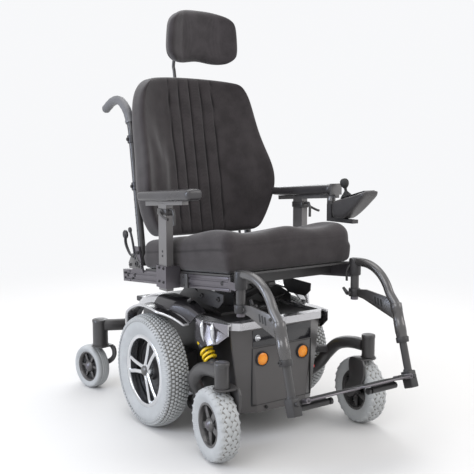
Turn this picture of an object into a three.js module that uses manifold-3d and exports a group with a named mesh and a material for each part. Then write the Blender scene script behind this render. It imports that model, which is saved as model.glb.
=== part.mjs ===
// A mid-wheel-drive power wheelchair, in millimetres: X to the occupant's left, Y to the rear, Z up.
// The shapes are laid out from the floor under the middle of the drive axle.
import * as THREE from "three";
import { mergeVertices } from "three/addons/utils/BufferGeometryUtils.js";
import Module from "manifold-3d";

const wasm = await Module();
wasm.setup();

// ---- driving dimensions ----

const gap = 0.3; // between faces that are bolted or rest on each other
const bearingGap = 0.8; // round a pin or shaft that turns
const wheelGap = 3; // beside a turning wheel

const drive = { radius: 178, width: 76, rim: 115, x: 275, y: 20, hub: 23, shaft: 12, facets: 24 };
const front = {
  radius: 106, width: 63, rim: 64, hub: 24, x: 277, y: -378, trail: 40, steer: -8,
  barrel: 21.5, barrelLength: 72, flange: 6.5, forkPlate: 9, axle: 6, stem: 8, facets: 18,
};
const rear = {
  radius: 79, width: 50, rim: 55, hub: 18, x: 256, y: 438, trail: 55, steer: 11,
  barrel: 28.5, barrelLength: 94, flange: 6.5, forkPlate: 8, axle: 5, stem: 9, facets: 16,
};
const arm = { radius: 20, pivotX: 190, pivotY: -110, pivotZ: 95, hub: 22, hubLength: 50, pin: 8 };
const shock = { radius: 18, x: 194, topY: -164, topZ: 277, footY: -203, footZ: 237 };
const chassis = { halfWidth: 138, frontY: -258, rearY: 330, floorZ: 80, topZ: 330, wall: 8 };
const rearBeam = { halfWidth: 150, depth: 42, bottomZ: 205, height: 70 };
const rearArm = { height: 44, thickness: 34, rootX: 118 };
const motor = { halfHeight: 50, bodyRadius: 36, bodyLength: 150 };
const cover = { halfFlat: 108, bottomHalf: 137, topHalf: 172, depth: 34, bottomZ: 88, wall: 4 };
const reflector = { radius: 22, x: 77, z: 252, depth: 7 };
const deck = { halfWidth: 170, thickness: 18 };
const shroud = { halfWidth: 184, frontY: -292, rearY: 250, bottomZ: 345, height: 22, wall: 12 };
const fairing = { x: 214, wall: 4, rearY: -150, bendY: -215, frontY: -285, taper: 0.35 };
const fender = {
  rise: 57, flare: 45, wingRise: 29, wall: 4, wingX: 300, frontX: 230, startAngle: 52, endAngle: 155,
};
const seat = { tilt: 5.2, railTopZ: 487, halfWidth: 232, frontY: -354, rearY: 297 };
const rail = { width: 16, height: 41, slot: 7, slotDepth: 3 };
const pivot = { y: 60, z: 425, pin: 8, cheekX: 100, cheek: 10, boss: 18 };
const pan = { thickness: 6, rearY: 140 };
const cushion = { halfWidth: 232, frontY: -349, rearY: 146, height: 114, drop: 26, bolster: 26, pommel: 16 };
const armrest = { x: 263, y: -55, width: 24, depth: 47, bottomZ: 442, wall: 6 };
const pad = { x: 265, width: 54, frontY: -228, rearY: 82, rearTopZ: 736, slope: 4, thickness: 30 };
const cane = { x: 218, radius: 12.5, pivotY: 175, pivotZ: 492, lean: 9, straight: 445, collar: 17 };
const back = {
  lean: 10, footY: 148, footZ: 582, height: 535, halfWidth: 245, thickness: 60, wrap: 96, shell: 6,
};
const headrest = { halfWidth: 135, bottomZ: 1152, height: 178, frontY: 150, thickness: 54, wing: 42 };
const headRod = { radius: 7, offset: 84, footV: 330, topV: 590, pivotY: 238, pin: 5, eye: 12 };
const legrest = { x: 214, y: -378, post: 12, postTopZ: 525, postFootZ: 412, tube: 16, inner: 11 };
const foot = {
  pivotY: -621, pivotZ: 232, toeUp: 20, halfGap: 8, front: 20, rear: 75, plate: 5, hingeIn: 26, pin: 4,
};
const joystick = {
  x: 268, rearY: -240, length: 150, width: 66, bottomZ: 650, height: 55, noseUp: 15, noseZ: 731,
  pivotY: -212,
};

// ---- finishes ----

const finish = (color, roughness, metalness) =>
  new THREE.MeshStandardMaterial({ color, roughness, metalness });
const blackSteel = finish(0x232326, 0.45, 0.5);
const greySteel = finish(0x5b5c60, 0.4, 0.7);
const blackPlastic = finish(0x1a1a1c, 0.5, 0);
const anthracite = finish(0x47484c, 0.3, 0.6);
const silver = finish(0xb9bcc2, 0.25, 0.8);
const greyTyre = finish(0xa9b1ba, 0.85, 0);
const rimBlack = finish(0x1c1c1f, 0.35, 0.6);
const orange = finish(0xf28a10, 0.25, 0);
const yellow = finish(0xf0c000, 0.35, 0.1);
const fabric = finish(0x2b2c30, 0.95, 0);
const foamPad = finish(0x202022, 0.6, 0);
const anodised = finish(0x6d6a72, 0.35, 0.8);

// ---- solids ----

const radians = THREE.MathUtils.degToRad;
const sin = (degrees) => Math.sin(radians(degrees));
const cos = (degrees) => Math.cos(radians(degrees));

// A closed geometry as a solid with its faces outwards.
function solid(geometry) {
  const loose = geometry.index ? geometry.toNonIndexed() : geometry;
  const bare = new THREE.BufferGeometry();
  bare.setAttribute("position", loose.getAttribute("position"));
  const merged = mergeVertices(bare, 1e-3);
  const corners = [...merged.index.array];
  const build = (flip) => {
    const kept = [];
    for (let i = 0; i < corners.length; i += 3) {
      const [a, b, c] = corners.slice(i, i + 3);
      if (a !== b && b !== c && c !== a) kept.push(...(flip ? [a, c, b] : [a, b, c]));
    }
    const vertProperties = new Float32Array(merged.attributes.position.array);
    const triVerts = new Uint32Array(kept);
    return new wasm.Manifold(new wasm.Mesh({ numProp: 3, vertProperties, triVerts }));
  };
  const made = build(false);
  return made.volume() < 0 ? build(true) : made;
}

const join = (...shapes) => shapes.map(asSolid).reduce((a, b) => a.add(b));
const cut = (body, ...tools) => tools.map(asSolid).reduce((a, b) => a.subtract(b), asSolid(body));
const asSolid = (shape) => (shape.isBufferGeometry ? solid(shape) : shape);

const box = (x0, x1, y0, y1, z0, z1) =>
  new THREE.BoxGeometry(x1 - x0, y1 - y0, z1 - z0).translate(
    (x0 + x1) / 2,
    (y0 + y1) / 2,
    (z0 + z1) / 2,
  );

// A round bar between two points; endRadius tapers it.
function bar(from, to, radius, sides = 16, endRadius = radius) {
  const a = new THREE.Vector3(...from);
  const along = new THREE.Vector3(...to).sub(a);
  const turn = new THREE.Quaternion().setFromUnitVectors(
    new THREE.Vector3(0, 1, 0),
    along.clone().normalize(),
  );
  return new THREE.CylinderGeometry(endRadius, radius, along.length(), sides)
    .applyQuaternion(turn)
    .translate(a.x + along.x / 2, a.y + along.y / 2, a.z + along.z / 2);
}

// A round tube along a smooth curve through the points.
function bent(points, radius, sides, steps) {
  const path = new THREE.CatmullRomCurve3(points.map((p) => new THREE.Vector3(...p)));
  const ring = new THREE.Shape();
  ring.absarc(0, 0, radius, 0, 2 * Math.PI);
  return new THREE.ExtrudeGeometry(ring, {
    extrudePath: path,
    steps,
    curveSegments: sides,
    bevelEnabled: false,
  });
}

const outline = (points) => new THREE.Shape(points.map(([u, v]) => new THREE.Vector2(u, v)));
const plain = (depth) => ({ depth, bevelEnabled: false, curveSegments: 8 });

// Plates: an outline in the plane across one axis, given thickness along it.
const plateZ = (points, z0, z1) =>
  new THREE.ExtrudeGeometry(outline(points), plain(z1 - z0)).translate(0, 0, z0);
const plateX = (points, x0, x1) =>
  new THREE.ExtrudeGeometry(outline(points), plain(x1 - x0)).applyMatrix4(
    new THREE.Matrix4().set(0, 0, 1, x0, 1, 0, 0, 0, 0, 1, 0, 0, 0, 0, 0, 1),
  );

// A turned piece about a line along X: the profile is [radius, place along X].
const turned = (profile, segments) =>
  new THREE.LatheGeometry(
    profile.map(([r, a]) => new THREE.Vector2(r, a)),
    segments,
  ).rotateZ(-Math.PI / 2);

// Moves each corner of a geometry to where the function puts it.
function reshape(geometry, place) {
  const at = geometry.getAttribute("position");
  for (let i = 0; i < at.count; i++) at.setXYZ(i, ...place(at.getX(i), at.getY(i), at.getZ(i)));
  return geometry;
}

const onSeat = (geometry) => geometry.rotateX(-radians(seat.tilt)).translate(0, 0, seat.railTopZ);
const seatZ = (y, above) => seat.railTopZ - (y * sin(seat.tilt)) / cos(seat.tilt) + above;

// ---- the assembly ----

const chair = new THREE.Group();
const left = new THREE.Group();
const right = new THREE.Group();
right.scale.x = -1;
chair.add(left, right);

function place(name, shape, material, group = chair) {
  const { vertProperties, triVerts } = asSolid(shape).getMesh();
  const geometry = new THREE.BufferGeometry();
  geometry.setAttribute("position", new THREE.BufferAttribute(new Float32Array(vertProperties), 3));
  geometry.setIndex(new THREE.BufferAttribute(new Uint32Array(triVerts), 1));
  geometry.computeVertexNormals();
  const mesh = new THREE.Mesh(geometry, material.clone());
  mesh.name = name;
  group.add(mesh);
}

function placeBoth(name, shape, material) {
  const made = asSolid(shape);
  place(name + "_left", made, material, left);
  place(name + "_right", made, material, right);
}

// ---- wheels ----

// The flat facet at the bottom touches the floor, so corners lie a little outside the radius.
const outer = (wheel) => wheel.radius / Math.cos(Math.PI / wheel.facets);
const tyreBottomUp = (geometry, wheel) => geometry.rotateX(Math.PI / wheel.facets);

function tyre(wheel) {
  const wall = outer(wheel) - wheel.rim;
  const side = [
    [0, 0.4],
    [0.5, 0.5],
    [0.86, 0.42],
    [1, 0.22],
  ].map(([up, across]) => [wheel.rim + wall * up, wheel.width * across]);
  const profile = [...side, ...side.map(([r, a]) => [r, -a]).reverse(), side[0]];
  return tyreBottomUp(turned(profile, wheel.facets), wheel);
}

function driveRim(wheel) {
  const lip = wheel.rim - gap;
  const edge = wheel.width * 0.4;
  const barrel = [
    [lip, -edge],
    [lip, edge],
    [lip - 11, edge],
    [lip - 11, -edge],
    [lip, -edge],
  ];
  const parts = [tyreBottomUp(turned(barrel, wheel.facets), wheel)];
  for (const angle of [0, 120, 240])
    for (const offset of [-12, 12])
      parts.push(
        box(edge - 26, edge - 8, offset - 6, offset + 6, 10, lip - 6).rotateX(radians(angle + 90)),
      );
  parts.push(bar([-edge, 0, 0], [edge - 2, 0, 0], wheel.hub, 12));
  parts.push(bar([-wheel.width / 2 - 24, 0, 0], [0, 0, 0], wheel.shaft, 12));
  return join(...parts);
}

function casterRim(wheel) {
  const lip = wheel.rim - gap;
  const edge = wheel.width * 0.4;
  const bore = wheel.axle + bearingGap;
  const profile = [
    [bore, -edge],
    [lip, -edge],
    [lip, edge],
    [lip - 10, edge],
    [lip - 14, edge - 12],
    [wheel.hub, edge - 12],
    [wheel.hub, edge],
    [bore, edge],
    [bore, -edge],
  ];
  return tyreBottomUp(turned(profile, wheel.facets), wheel);
}

for (const [group, name] of [
  [left, "left"],
  [right, "right"],
]) {
  const wheel = new THREE.Group();
  wheel.position.set(drive.x, drive.y, drive.radius);
  group.add(wheel);
  place("drive_tyre_" + name, tyre(drive), greyTyre, wheel);
  place("drive_rim_" + name, driveRim(drive), silver, wheel);
}

// ---- casters: each fork carries its wheel on one side, the inboard one ----

const flangeBottom = (caster) => 2 * outer(caster) - (outer(caster) - caster.radius) + 1;
const barrelBottom = (caster) => flangeBottom(caster) + caster.flange + gap;
const barrelTop = (caster) => barrelBottom(caster) + caster.barrelLength;

function fork(caster, sweep) {
  const top = flangeBottom(caster) + caster.flange;
  const bottom = flangeBottom(caster);
  const outside = -(caster.width / 2 + wheelGap);
  const inside = outside - caster.forkPlate;
  const eye = caster.axle + 10;
  const side = [
    [-caster.barrel, top],
    [caster.barrel, top],
    [caster.trail + eye + sweep, (top + caster.radius) / 2],
    [caster.trail + eye, caster.radius],
    [caster.trail, caster.radius - eye],
    [caster.trail - eye, caster.radius],
    [sweep - eye, (top + caster.radius) / 2],
  ];
  return join(
    bar([0, 0, bottom], [0, 0, top], caster.barrel + 4, 12),
    box(inside, 0, -caster.barrel, caster.barrel, bottom, top),
    plateX(side, inside, outside),
    bar([outside - 1, caster.trail, caster.radius], [caster.width * 0.4, caster.trail, caster.radius],
      caster.axle, 12),
    bar([0, 0, top - 1], [0, 0, top + caster.barrelLength * 0.7], caster.stem, 12),
  );
}

for (const [caster, kind, sweep] of [
  [front, "front", 0],
  [rear, "rear", 8],
]) {
  for (const [group, name, turn] of [
    [left, "left", 1],
    [right, "right", -1],
  ]) {
    const swivel = new THREE.Group();
    swivel.position.set(caster.x, caster.y, 0);
    swivel.rotation.z = turn * radians(caster.steer);
    const wheel = new THREE.Group();
    wheel.position.set(0, caster.trail, caster.radius);
    swivel.add(wheel);
    group.add(swivel);
    place(kind + "_fork_" + name, fork(caster, sweep), blackSteel, swivel);
    place(kind + "_tyre_" + name, tyre(caster), greyTyre, wheel);
    place(kind + "_rim_" + name, casterRim(caster), rimBlack, wheel);
  }
}

// The steering barrel that a fork's stem turns in, open at the bottom.
const barrel = (caster) =>
  cut(
    bar([caster.x, caster.y, barrelBottom(caster)], [caster.x, caster.y, barrelTop(caster)],
      caster.barrel, 14),
    bar(
      [caster.x, caster.y, barrelBottom(caster) - 1],
      [caster.x, caster.y, barrelBottom(caster) + caster.barrelLength * 0.8],
      caster.stem + bearingGap,
      12,
    ),
  );

// ---- suspension ----

const armZ = barrelBottom(front) + front.barrelLength * 0.52;
const armPath = [
  [front.x - 5, front.y + 14, armZ],
  [front.x - 10, front.y + 58, armZ + 5],
  [front.x - 25, front.y + 108, armZ - 1],
  [arm.pivotX + 38, arm.pivotY - 95, arm.pivotZ + 110],
  [arm.pivotX + 12, arm.pivotY - 42, arm.pivotZ + 44],
  [arm.pivotX, arm.pivotY, arm.pivotZ],
];
const hubFrom = arm.pivotX - arm.hubLength / 2;
const hubTo = arm.pivotX + arm.hubLength / 2;
const springFoot = new THREE.Vector3(shock.x, shock.footY, shock.footZ);
const springHead = new THREE.Vector3(shock.x, shock.topY, shock.topZ);
const springUp = springHead.clone().sub(springFoot).normalize();
const springTop = springHead.distanceTo(springFoot);
const alongSpring = (distance) => springFoot.clone().addScaledVector(springUp, distance).toArray();
const lug = alongSpring(-14);

const swingArm = cut(
  join(
    cut(
      join(
        bent(armPath, arm.radius, 4, 8),
        bar([hubFrom, arm.pivotY, arm.pivotZ], [hubTo, arm.pivotY, arm.pivotZ], arm.hub, 12),
        bar(alongSpring(-26), alongSpring(0), shock.radius, 12),
        bar(lug, [arm.pivotX + 40, lug[1] + 2, lug[2] - 8], 13, 10),
      ),
      bar([front.x, front.y, 0], [front.x, front.y, barrelTop(front)], front.stem + 6, 12),
    ),
    barrel(front),
  ),
  bar([hubFrom - 1, arm.pivotY, arm.pivotZ], [hubTo + 1, arm.pivotY, arm.pivotZ],
    arm.pin + bearingGap, 12),
);
placeBoth("swing_arm", swingArm, blackSteel);

// The shock: its coil and damper as one turned piece with a groove between turns.
const coils = 4;
const shockProfile = [[0, gap]];
for (let i = 0; i < coils; i++) {
  const from = gap + ((springTop - 2 * gap) * i) / coils;
  const pitch = (springTop - 2 * gap) / coils;
  shockProfile.push([shock.radius - 1, from + pitch * 0.05], [shock.radius - 1, from + pitch * 0.5]);
  if (i < coils - 1) shockProfile.push([shock.radius - 6, from + pitch * 0.75]);
}
shockProfile.push([shock.radius - 1, springTop - gap], [0, springTop - gap]);
const shockBody = new THREE.LatheGeometry(
  shockProfile.map(([r, a]) => new THREE.Vector2(r, a)),
  12,
)
  .applyQuaternion(new THREE.Quaternion().setFromUnitVectors(new THREE.Vector3(0, 1, 0), springUp))
  .translate(springFoot.x, springFoot.y, springFoot.z);
placeBoth("shock_spring", shockBody, yellow);

// ---- chassis ----

const w = chassis.halfWidth;
const towerX = shock.x + 12;
const sideParts = (side) => {
  const span = (from, to) => (side > 0 ? [from, to] : [-to, -from]);
  const mirrored = ([x, y, z]) => [side * x, y, z];
  return [
    bar([side * (w - 1), arm.pivotY, arm.pivotZ], [side * (hubTo + 6), arm.pivotY, arm.pivotZ],
      arm.pin, 12),
    bar(mirrored(alongSpring(springTop)), mirrored(alongSpring(springTop + 12)), shock.radius, 12),
    box(...span(w - 1, towerX), shock.topY + 4, shock.topY + 40, shock.topZ + 5, shock.topZ + 45),
  ];
};
const chassisFrame = join(
  cut(
    box(-w, w, chassis.frontY, chassis.rearY, chassis.floorZ, chassis.topZ),
    box(
      -w + chassis.wall,
      w - chassis.wall,
      chassis.frontY + chassis.wall,
      chassis.rearY - chassis.wall,
      chassis.floorZ + chassis.wall,
      chassis.topZ + 1,
    ),
  ),
  box(-w, w, -200, -140, chassis.topZ - 2, chassis.topZ + chassis.wall),
  box(-w, w, 90, 150, chassis.topZ - 2, chassis.topZ + chassis.wall),
  box(
    -rearBeam.halfWidth,
    rearBeam.halfWidth,
    chassis.rearY - 1,
    chassis.rearY + rearBeam.depth,
    rearBeam.bottomZ,
    rearBeam.bottomZ + rearBeam.height,
  ),
  ...sideParts(1),
  ...sideParts(-1),
);
place("chassis_frame", chassisFrame, blackSteel);

const inset = chassis.wall + 5;
place(
  "battery_box",
  box(
    -w + inset,
    w - inset,
    chassis.frontY + inset,
    chassis.rearY - inset,
    chassis.floorZ + chassis.wall + gap,
    chassis.topZ - 2 - gap,
  ),
  blackPlastic,
);

// Gearbox, with the motor lying behind it; the wheel's shaft turns in the gearbox.
const shaftFace = drive.x - drive.width / 2 - 12;
const gearbox = cut(
  join(
    box(w + gap, shaftFace, drive.y - motor.halfHeight, drive.y + motor.halfHeight,
      drive.radius - motor.halfHeight, drive.radius + motor.halfHeight),
    bar(
      [(w + shaftFace) / 2, drive.y + motor.halfHeight - 2, drive.radius],
      [(w + shaftFace) / 2, drive.y + motor.halfHeight + motor.bodyLength, drive.radius],
      motor.bodyRadius,
      16,
    ),
  ),
  bar([shaftFace - 16, drive.y, drive.radius], [shaftFace + 1, drive.y, drive.radius],
    drive.shaft + bearingGap, 12),
);
placeBoth("drive_motor", gearbox, blackSteel);

// The rear arms sweep out from the rear beam to the steering barrels.
const rearFace = chassis.rearY + rearBeam.depth + gap;
const beamTop = barrelTop(rear);
const rearArmShape = join(
  cut(
    plateZ(
      [
        [rearArm.rootX - 34, rearFace],
        [rearArm.rootX + 30, rearFace],
        [rear.x + 14, rear.y - rear.barrel + 4],
        [rear.x + rear.barrel - 6, rear.y + 6],
        [rear.x - 6, rear.y + rear.barrel - 6],
        [rearArm.rootX - 34, rearFace + rearArm.thickness],
      ],
      beamTop - rearArm.height,
      beamTop,
    ),
    bar([rear.x, rear.y, 0], [rear.x, rear.y, beamTop - 4], rear.stem + 6, 12),
  ),
  barrel(rear),
);
placeBoth("rear_arm", rearArmShape, blackSteel);

// ---- body panels ----

const coverFront = chassis.frontY - gap;
const coverTop = shroud.bottomZ - gap;
function coverBlock(inward) {
  const height = coverTop - cover.bottomZ;
  return reshape(
    new THREE.BoxGeometry(2, 1, height, 6, 2, 3).translate(0, 0.5, cover.bottomZ + height / 2),
    (x, y, z) => {
      const up = (z - cover.bottomZ) / height;
      const half = cover.bottomHalf + (cover.topHalf - cover.bottomHalf) * up - inward;
      const bulge = Math.abs(x) > 0.7 ? 0.2 : 1;
      const depth = (cover.depth + 8 * up * (1 - up) - inward) * (1 - y) * bulge;
      return [x * half, coverFront - depth + (inward ? 2 * y : 0), z];
    },
  );
}
place(
  "front_cover",
  cut(
    coverBlock(0),
    coverBlock(cover.wall).translate(0, 0, -cover.wall),
  ),
  anthracite,
);

// Round lenses that stand on the flat of the cover.
const lensFace = coverFront - cover.depth - 2.1;
const lens = new THREE.LatheGeometry(
  [
    [0, 0],
    [reflector.radius, 0],
    [reflector.radius, reflector.depth * 0.6],
    [reflector.radius * 0.6, reflector.depth],
    [0, reflector.depth],
  ].map(([r, a]) => new THREE.Vector2(r, a)),
  16,
)
  .rotateX(Math.PI)
  .translate(reflector.x, lensFace, reflector.z);
placeBoth("reflector", lens, orange);

place(
  "deck",
  box(-deck.halfWidth, deck.halfWidth, chassis.frontY, chassis.rearY - 10,
    chassis.topZ + chassis.wall + gap, chassis.topZ + chassis.wall + deck.thickness),
  blackPlastic,
);

const shroudTop = shroud.bottomZ + shroud.height;
const ring = cut(
  plateZ(
    [
      [-shroud.halfWidth, shroud.rearY],
      [-shroud.halfWidth, shroud.frontY + 30],
      [-shroud.halfWidth + 30, shroud.frontY],
      [shroud.halfWidth - 30, shroud.frontY],
      [shroud.halfWidth, shroud.frontY + 30],
      [shroud.halfWidth, shroud.rearY],
    ],
    shroud.bottomZ,
    shroudTop,
  ),
  box(
    -shroud.halfWidth + shroud.wall,
    shroud.halfWidth - shroud.wall,
    chassis.frontY - 2,
    shroud.rearY + 1,
    shroud.bottomZ - 1,
    shroudTop + 1,
  ),
);
// A fairing hangs from the shroud beside each shock and tapers in towards the front.
const cheekOutline = [
  [fairing.rearY, shroudTop],
  [fairing.bendY, shroudTop],
  [fairing.frontY, shroudTop],
  [fairing.frontY, shroud.bottomZ - 12],
  [-250, shroud.bottomZ - 40],
  [fairing.bendY, shroud.bottomZ - 50],
  [-180, shroud.bottomZ - 57],
  [fairing.rearY, shroud.bottomZ - 42],
];
const fairingX = (y) => fairing.x - fairing.taper * Math.max(0, fairing.bendY - y);
const fairingSide = (side) => {
  const flat = plateX(cheekOutline, 0, fairing.wall);
  const top = plateZ(
    [
      [shroud.halfWidth - 2, fairing.frontY],
      [fairingX(fairing.frontY) + 1, fairing.frontY],
      [fairing.x + 1, fairing.bendY],
      [fairing.x + 1, fairing.rearY],
      [shroud.halfWidth - 2, fairing.rearY],
    ],
    shroudTop - 6,
    shroudTop,
  );
  const made = join(reshape(flat, (x, y, z) => [x + fairingX(y), y, z]), top);
  return side > 0 ? made : made.mirror([1, 0, 0]);
};
place("shroud", join(ring, fairingSide(1), fairingSide(-1)), silver);

// A fender is a dome beside the shroud that steps down to a wing over the drive wheel.
const archRadius = (angle) => drive.radius + fender.rise + fender.flare * cos(angle) ** 2;
const wingRadius = drive.radius + fender.wingRise;
const innerX = shroud.halfWidth + gap;
const acrossSteps = [
  [0, 1],
  [0.3, 0.97],
  [0.48, 0.8],
  [0.61, 0.12],
  [0.68, 0],
  [1, 0],
];
function outerEdge(angle) {
  const y = drive.y - wingRadius * cos(angle);
  const frontLimit = fender.frontX + 0.85 * (y + 135);
  const rearLimit = fender.wingX - 1.3 * Math.max(0, angle - 125);
  return Math.min(fender.wingX, frontLimit, rearLimit);
}
function fenderPlace(x, y, z) {
  const [across, domed] = acrossSteps[Math.round((x + 0.5) * 5)];
  const angle = fender.startAngle + (fender.endAngle - fender.startAngle) * (z + 0.5);
  const outside = wingRadius + (archRadius(angle) - wingRadius) * domed;
  const r = y > 0 ? outside : outside - fender.wall;
  return [
    innerX + (outerEdge(angle) - innerX) * across,
    drive.y - r * cos(angle),
    drive.radius + r * sin(angle),
  ];
}
const arch = reshape(new THREE.BoxGeometry(1, 1, 1, 5, 1, 10), fenderPlace);
const webLine = Array.from({ length: 8 }, (_, i) => {
  const angle = 58 + (68 * i) / 7;
  const r = archRadius(angle) - 1;
  return [drive.y - r * cos(angle), drive.radius + r * sin(angle)];
});
const webFoot = shroud.bottomZ + 4;
const web = plateX(
  [...webLine, [webLine.at(-1)[0], webFoot], [webLine[0][0], webFoot]],
  innerX,
  innerX + fender.wall,
);
placeBoth("fender", join(arch, web), silver);

// ---- seat mount and tilt ----

const deckTop = chassis.topZ + chassis.wall + deck.thickness;
const cheekX = pivot.cheekX;
const baseTop = deckTop + gap + 8;
const cheekShape = [
  [-120, baseTop - 1],
  [150, baseTop - 1],
  [pivot.y + pivot.boss, pivot.z],
  [pivot.y + pivot.boss * 0.7, pivot.z + pivot.boss * 0.7],
  [pivot.y, pivot.z + pivot.boss],
  [pivot.y - pivot.boss * 0.7, pivot.z + pivot.boss * 0.7],
  [pivot.y - pivot.boss, pivot.z],
  [-60, baseTop + 14],
];
place(
  "seat_mount",
  join(
    box(-cheekX - 12, cheekX + 12, -130, 160, deckTop + gap, baseTop),
    plateX(cheekShape, cheekX, cheekX + pivot.cheek),
    plateX(cheekShape, -cheekX - pivot.cheek, -cheekX),
    bar([-cheekX - 1, pivot.y, pivot.z], [cheekX + 1, pivot.y, pivot.z], pivot.pin, 12),
  ),
  blackSteel,
);

const crossDepth = 30;
const crossTop = 1;
const crossBottom = crossTop - 36;
const frontCross = seat.frontY + 90;
const rearCross = seat.rearY - 170;
const spineX = cheekX - 14;
const spine = (x0, x1) =>
  onSeat(box(x0, x1, frontCross, rearCross + crossDepth, crossBottom, crossTop));
const ear = (x0, x1) =>
  cut(
    join(
      bar([x0, pivot.y, pivot.z], [x1, pivot.y, pivot.z], pivot.boss, 12),
      plateX(
        [
          [pivot.y - pivot.boss, pivot.z],
          [pivot.y + pivot.boss, pivot.z],
          [pivot.y + pivot.boss + 12, seatZ(pivot.y, crossBottom + 8)],
          [pivot.y - pivot.boss - 12, seatZ(pivot.y, crossBottom + 10)],
        ],
        x0,
        x1,
      ),
    ),
    bar([x0 - 1, pivot.y, pivot.z], [x1 + 1, pivot.y, pivot.z], pivot.pin + bearingGap, 12),
  );
const railInner = seat.halfWidth - rail.width;
const crossTube = (y) =>
  onSeat(
    box(gap - railInner, railInner - gap, y, y + crossDepth, crossBottom, crossTop),
  );
place(
  "seat_frame",
  join(
    crossTube(frontCross),
    crossTube(rearCross),
    onSeat(box(3 - seat.halfWidth, seat.halfWidth - 3, seat.frontY + 4, pan.rearY, gap, pan.thickness)),
    spine(spineX, spineX + 12),
    spine(-spineX - 12, -spineX),
    ear(spineX, spineX + 12),
    ear(-spineX - 12, -spineX),
  ),
  blackSteel,
);

// The tilt actuator lies on the mount; its rod ends under the front cross tube.
const rodEnd = [0, frontCross + 30, seatZ(frontCross + 30, crossBottom - 10)];
place(
  "tilt_actuator",
  join(
    box(-24, 24, -70, 40, baseTop + gap, baseTop + 40),
    bar([0, -60, baseTop + 22], rodEnd, 12, 12),
    bar([-12, rodEnd[1], rodEnd[2]], [12, rodEnd[1], rodEnd[2]], 9.5, 12),
  ),
  blackSteel,
);

// ---- seat rails, pan and cushion ----

const postDrop = (y) => seatZ(y, 0);
const railBar = cut(
  onSeat(
    box(railInner, seat.halfWidth, seat.frontY, seat.rearY, -rail.height, 0),
  ),
  ...[-12, -29].map((z) =>
    onSeat(
      box(seat.halfWidth - rail.slotDepth, seat.halfWidth + 1, seat.frontY + 10,
        seat.rearY - 10, z - rail.slot / 2, z + rail.slot / 2),
    ),
  ),
);
const socket = cut(
  box(
    seat.halfWidth - 2,
    armrest.x + armrest.width / 2 + armrest.wall,
    armrest.y - armrest.depth / 2 - armrest.wall,
    armrest.y + armrest.depth / 2 + armrest.wall,
    postDrop(armrest.y) - rail.height,
    postDrop(armrest.y) + 26,
  ),
  box(
    armrest.x - armrest.width / 2 - gap,
    armrest.x + armrest.width / 2 + gap,
    armrest.y - armrest.depth / 2 - gap,
    armrest.y + armrest.depth / 2 + gap,
    0,
    postDrop(armrest.y) + 30,
  ),
);
const railMid = seatZ(seat.frontY, -rail.height / 2);
const legPost = join(
  bar([legrest.x, legrest.y, legrest.postFootZ], [legrest.x, legrest.y, legrest.postTopZ],
    legrest.post, 12),
  box(railInner, seat.halfWidth, legrest.y, seat.frontY + 6, railMid - 14, railMid + 8),
);
const plateFrom = cane.x + cane.radius + 1;
const backPlate = cut(
  plateX(
    [
      [cane.pivotY - 34, seatZ(cane.pivotY, -4)],
      [cane.pivotY + 40, seatZ(cane.pivotY, -4)],
      [cane.pivotY + 26, cane.pivotZ + 58],
      [cane.pivotY - 4, cane.pivotZ + 58],
    ],
    plateFrom,
    plateFrom + 7,
  ),
  bar([plateFrom - 1, cane.pivotY, cane.pivotZ], [plateFrom + 8, cane.pivotY, cane.pivotZ],
    6 + bearingGap, 12),
);
placeBoth("seat_rail", join(railBar, socket, legPost, backPlate), anodised);

function cushionBlock() {
  const length = cushion.rearY - cushion.frontY;
  return reshape(new THREE.BoxGeometry(2, 2, 1, 10, 6, 2), (x, y, z) => {
    const up = z + 0.5;
    const round = 1 - 0.07 * Math.abs(x) ** 6 * Math.abs(y) ** 6;
    const swell = 1 - 0.05 * (2 * up - 1) ** 2;
    const front = Math.max(0, -y);
    const saddle = cushion.bolster * Math.abs(x) ** 3 * (0.15 + 0.85 * front);
    const pommel = cushion.pommel * Math.exp(-((x / 0.22) ** 2)) * front;
    const edge = 1 - 0.22 * Math.max(Math.abs(x) ** 10, Math.abs(y) ** 10);
    const high = (cushion.height - (cushion.drop * (1 + y)) / 2 + saddle + pommel) * edge;
    return [
      x * cushion.halfWidth * round * swell,
      (cushion.frontY + cushion.rearY) / 2 + (y * length * round * swell) / 2,
      pan.thickness + gap + up * high,
    ];
  });
}
place("seat_cushion", onSeat(cushionBlock()), fabric);

// ---- armrests ----

const padZ = (y) => pad.rearTopZ + (pad.rearY - y) * sin(pad.slope);
const padBottom = padZ(armrest.y) - pad.thickness - gap;
const post = join(
  box(
    armrest.x - armrest.width / 2,
    armrest.x + armrest.width / 2,
    armrest.y - armrest.depth / 2,
    armrest.y + armrest.depth / 2,
    armrest.bottomZ,
    padBottom - 8,
  ),
  box(-11, 11, pad.frontY + 60 - armrest.y, pad.rearY - 30 - armrest.y, -14, 0)
    .rotateX(-radians(pad.slope))
    .translate(armrest.x, armrest.y, padBottom),
);

// The left armrest's bar reaches forward to the pivot that the joystick swings on.
const swingY = joystick.pivotY;
const swingZ = padZ(swingY) - pad.thickness - 22;
const endBoxZ = padZ(pad.frontY);
const postWithBracket = cut(
  join(
    post,
    box(-9, 9, swingY - armrest.y, pad.frontY + 62 - armrest.y, -14, -1)
      .rotateX(-radians(pad.slope))
      .translate(armrest.x, armrest.y, padBottom),
    bar([armrest.x, swingY, swingZ - 1], [armrest.x, swingY, swingZ + 14], 14, 12),
    box(armrest.x - 9, armrest.x + 9, pad.frontY - 12, swingY + 2, endBoxZ - 44, endBoxZ - 32),
    box(armrest.x - 22, armrest.x + 22, pad.frontY - 9, pad.frontY - gap, endBoxZ - 34, endBoxZ + 2),
  ),
  bar([armrest.x, swingY, swingZ - 10], [armrest.x, swingY, swingZ + 9], 5 + bearingGap, 12),
);
place("armrest_post_left", postWithBracket, blackSteel, left);
place("armrest_post_right", post, blackSteel, right);

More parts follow.
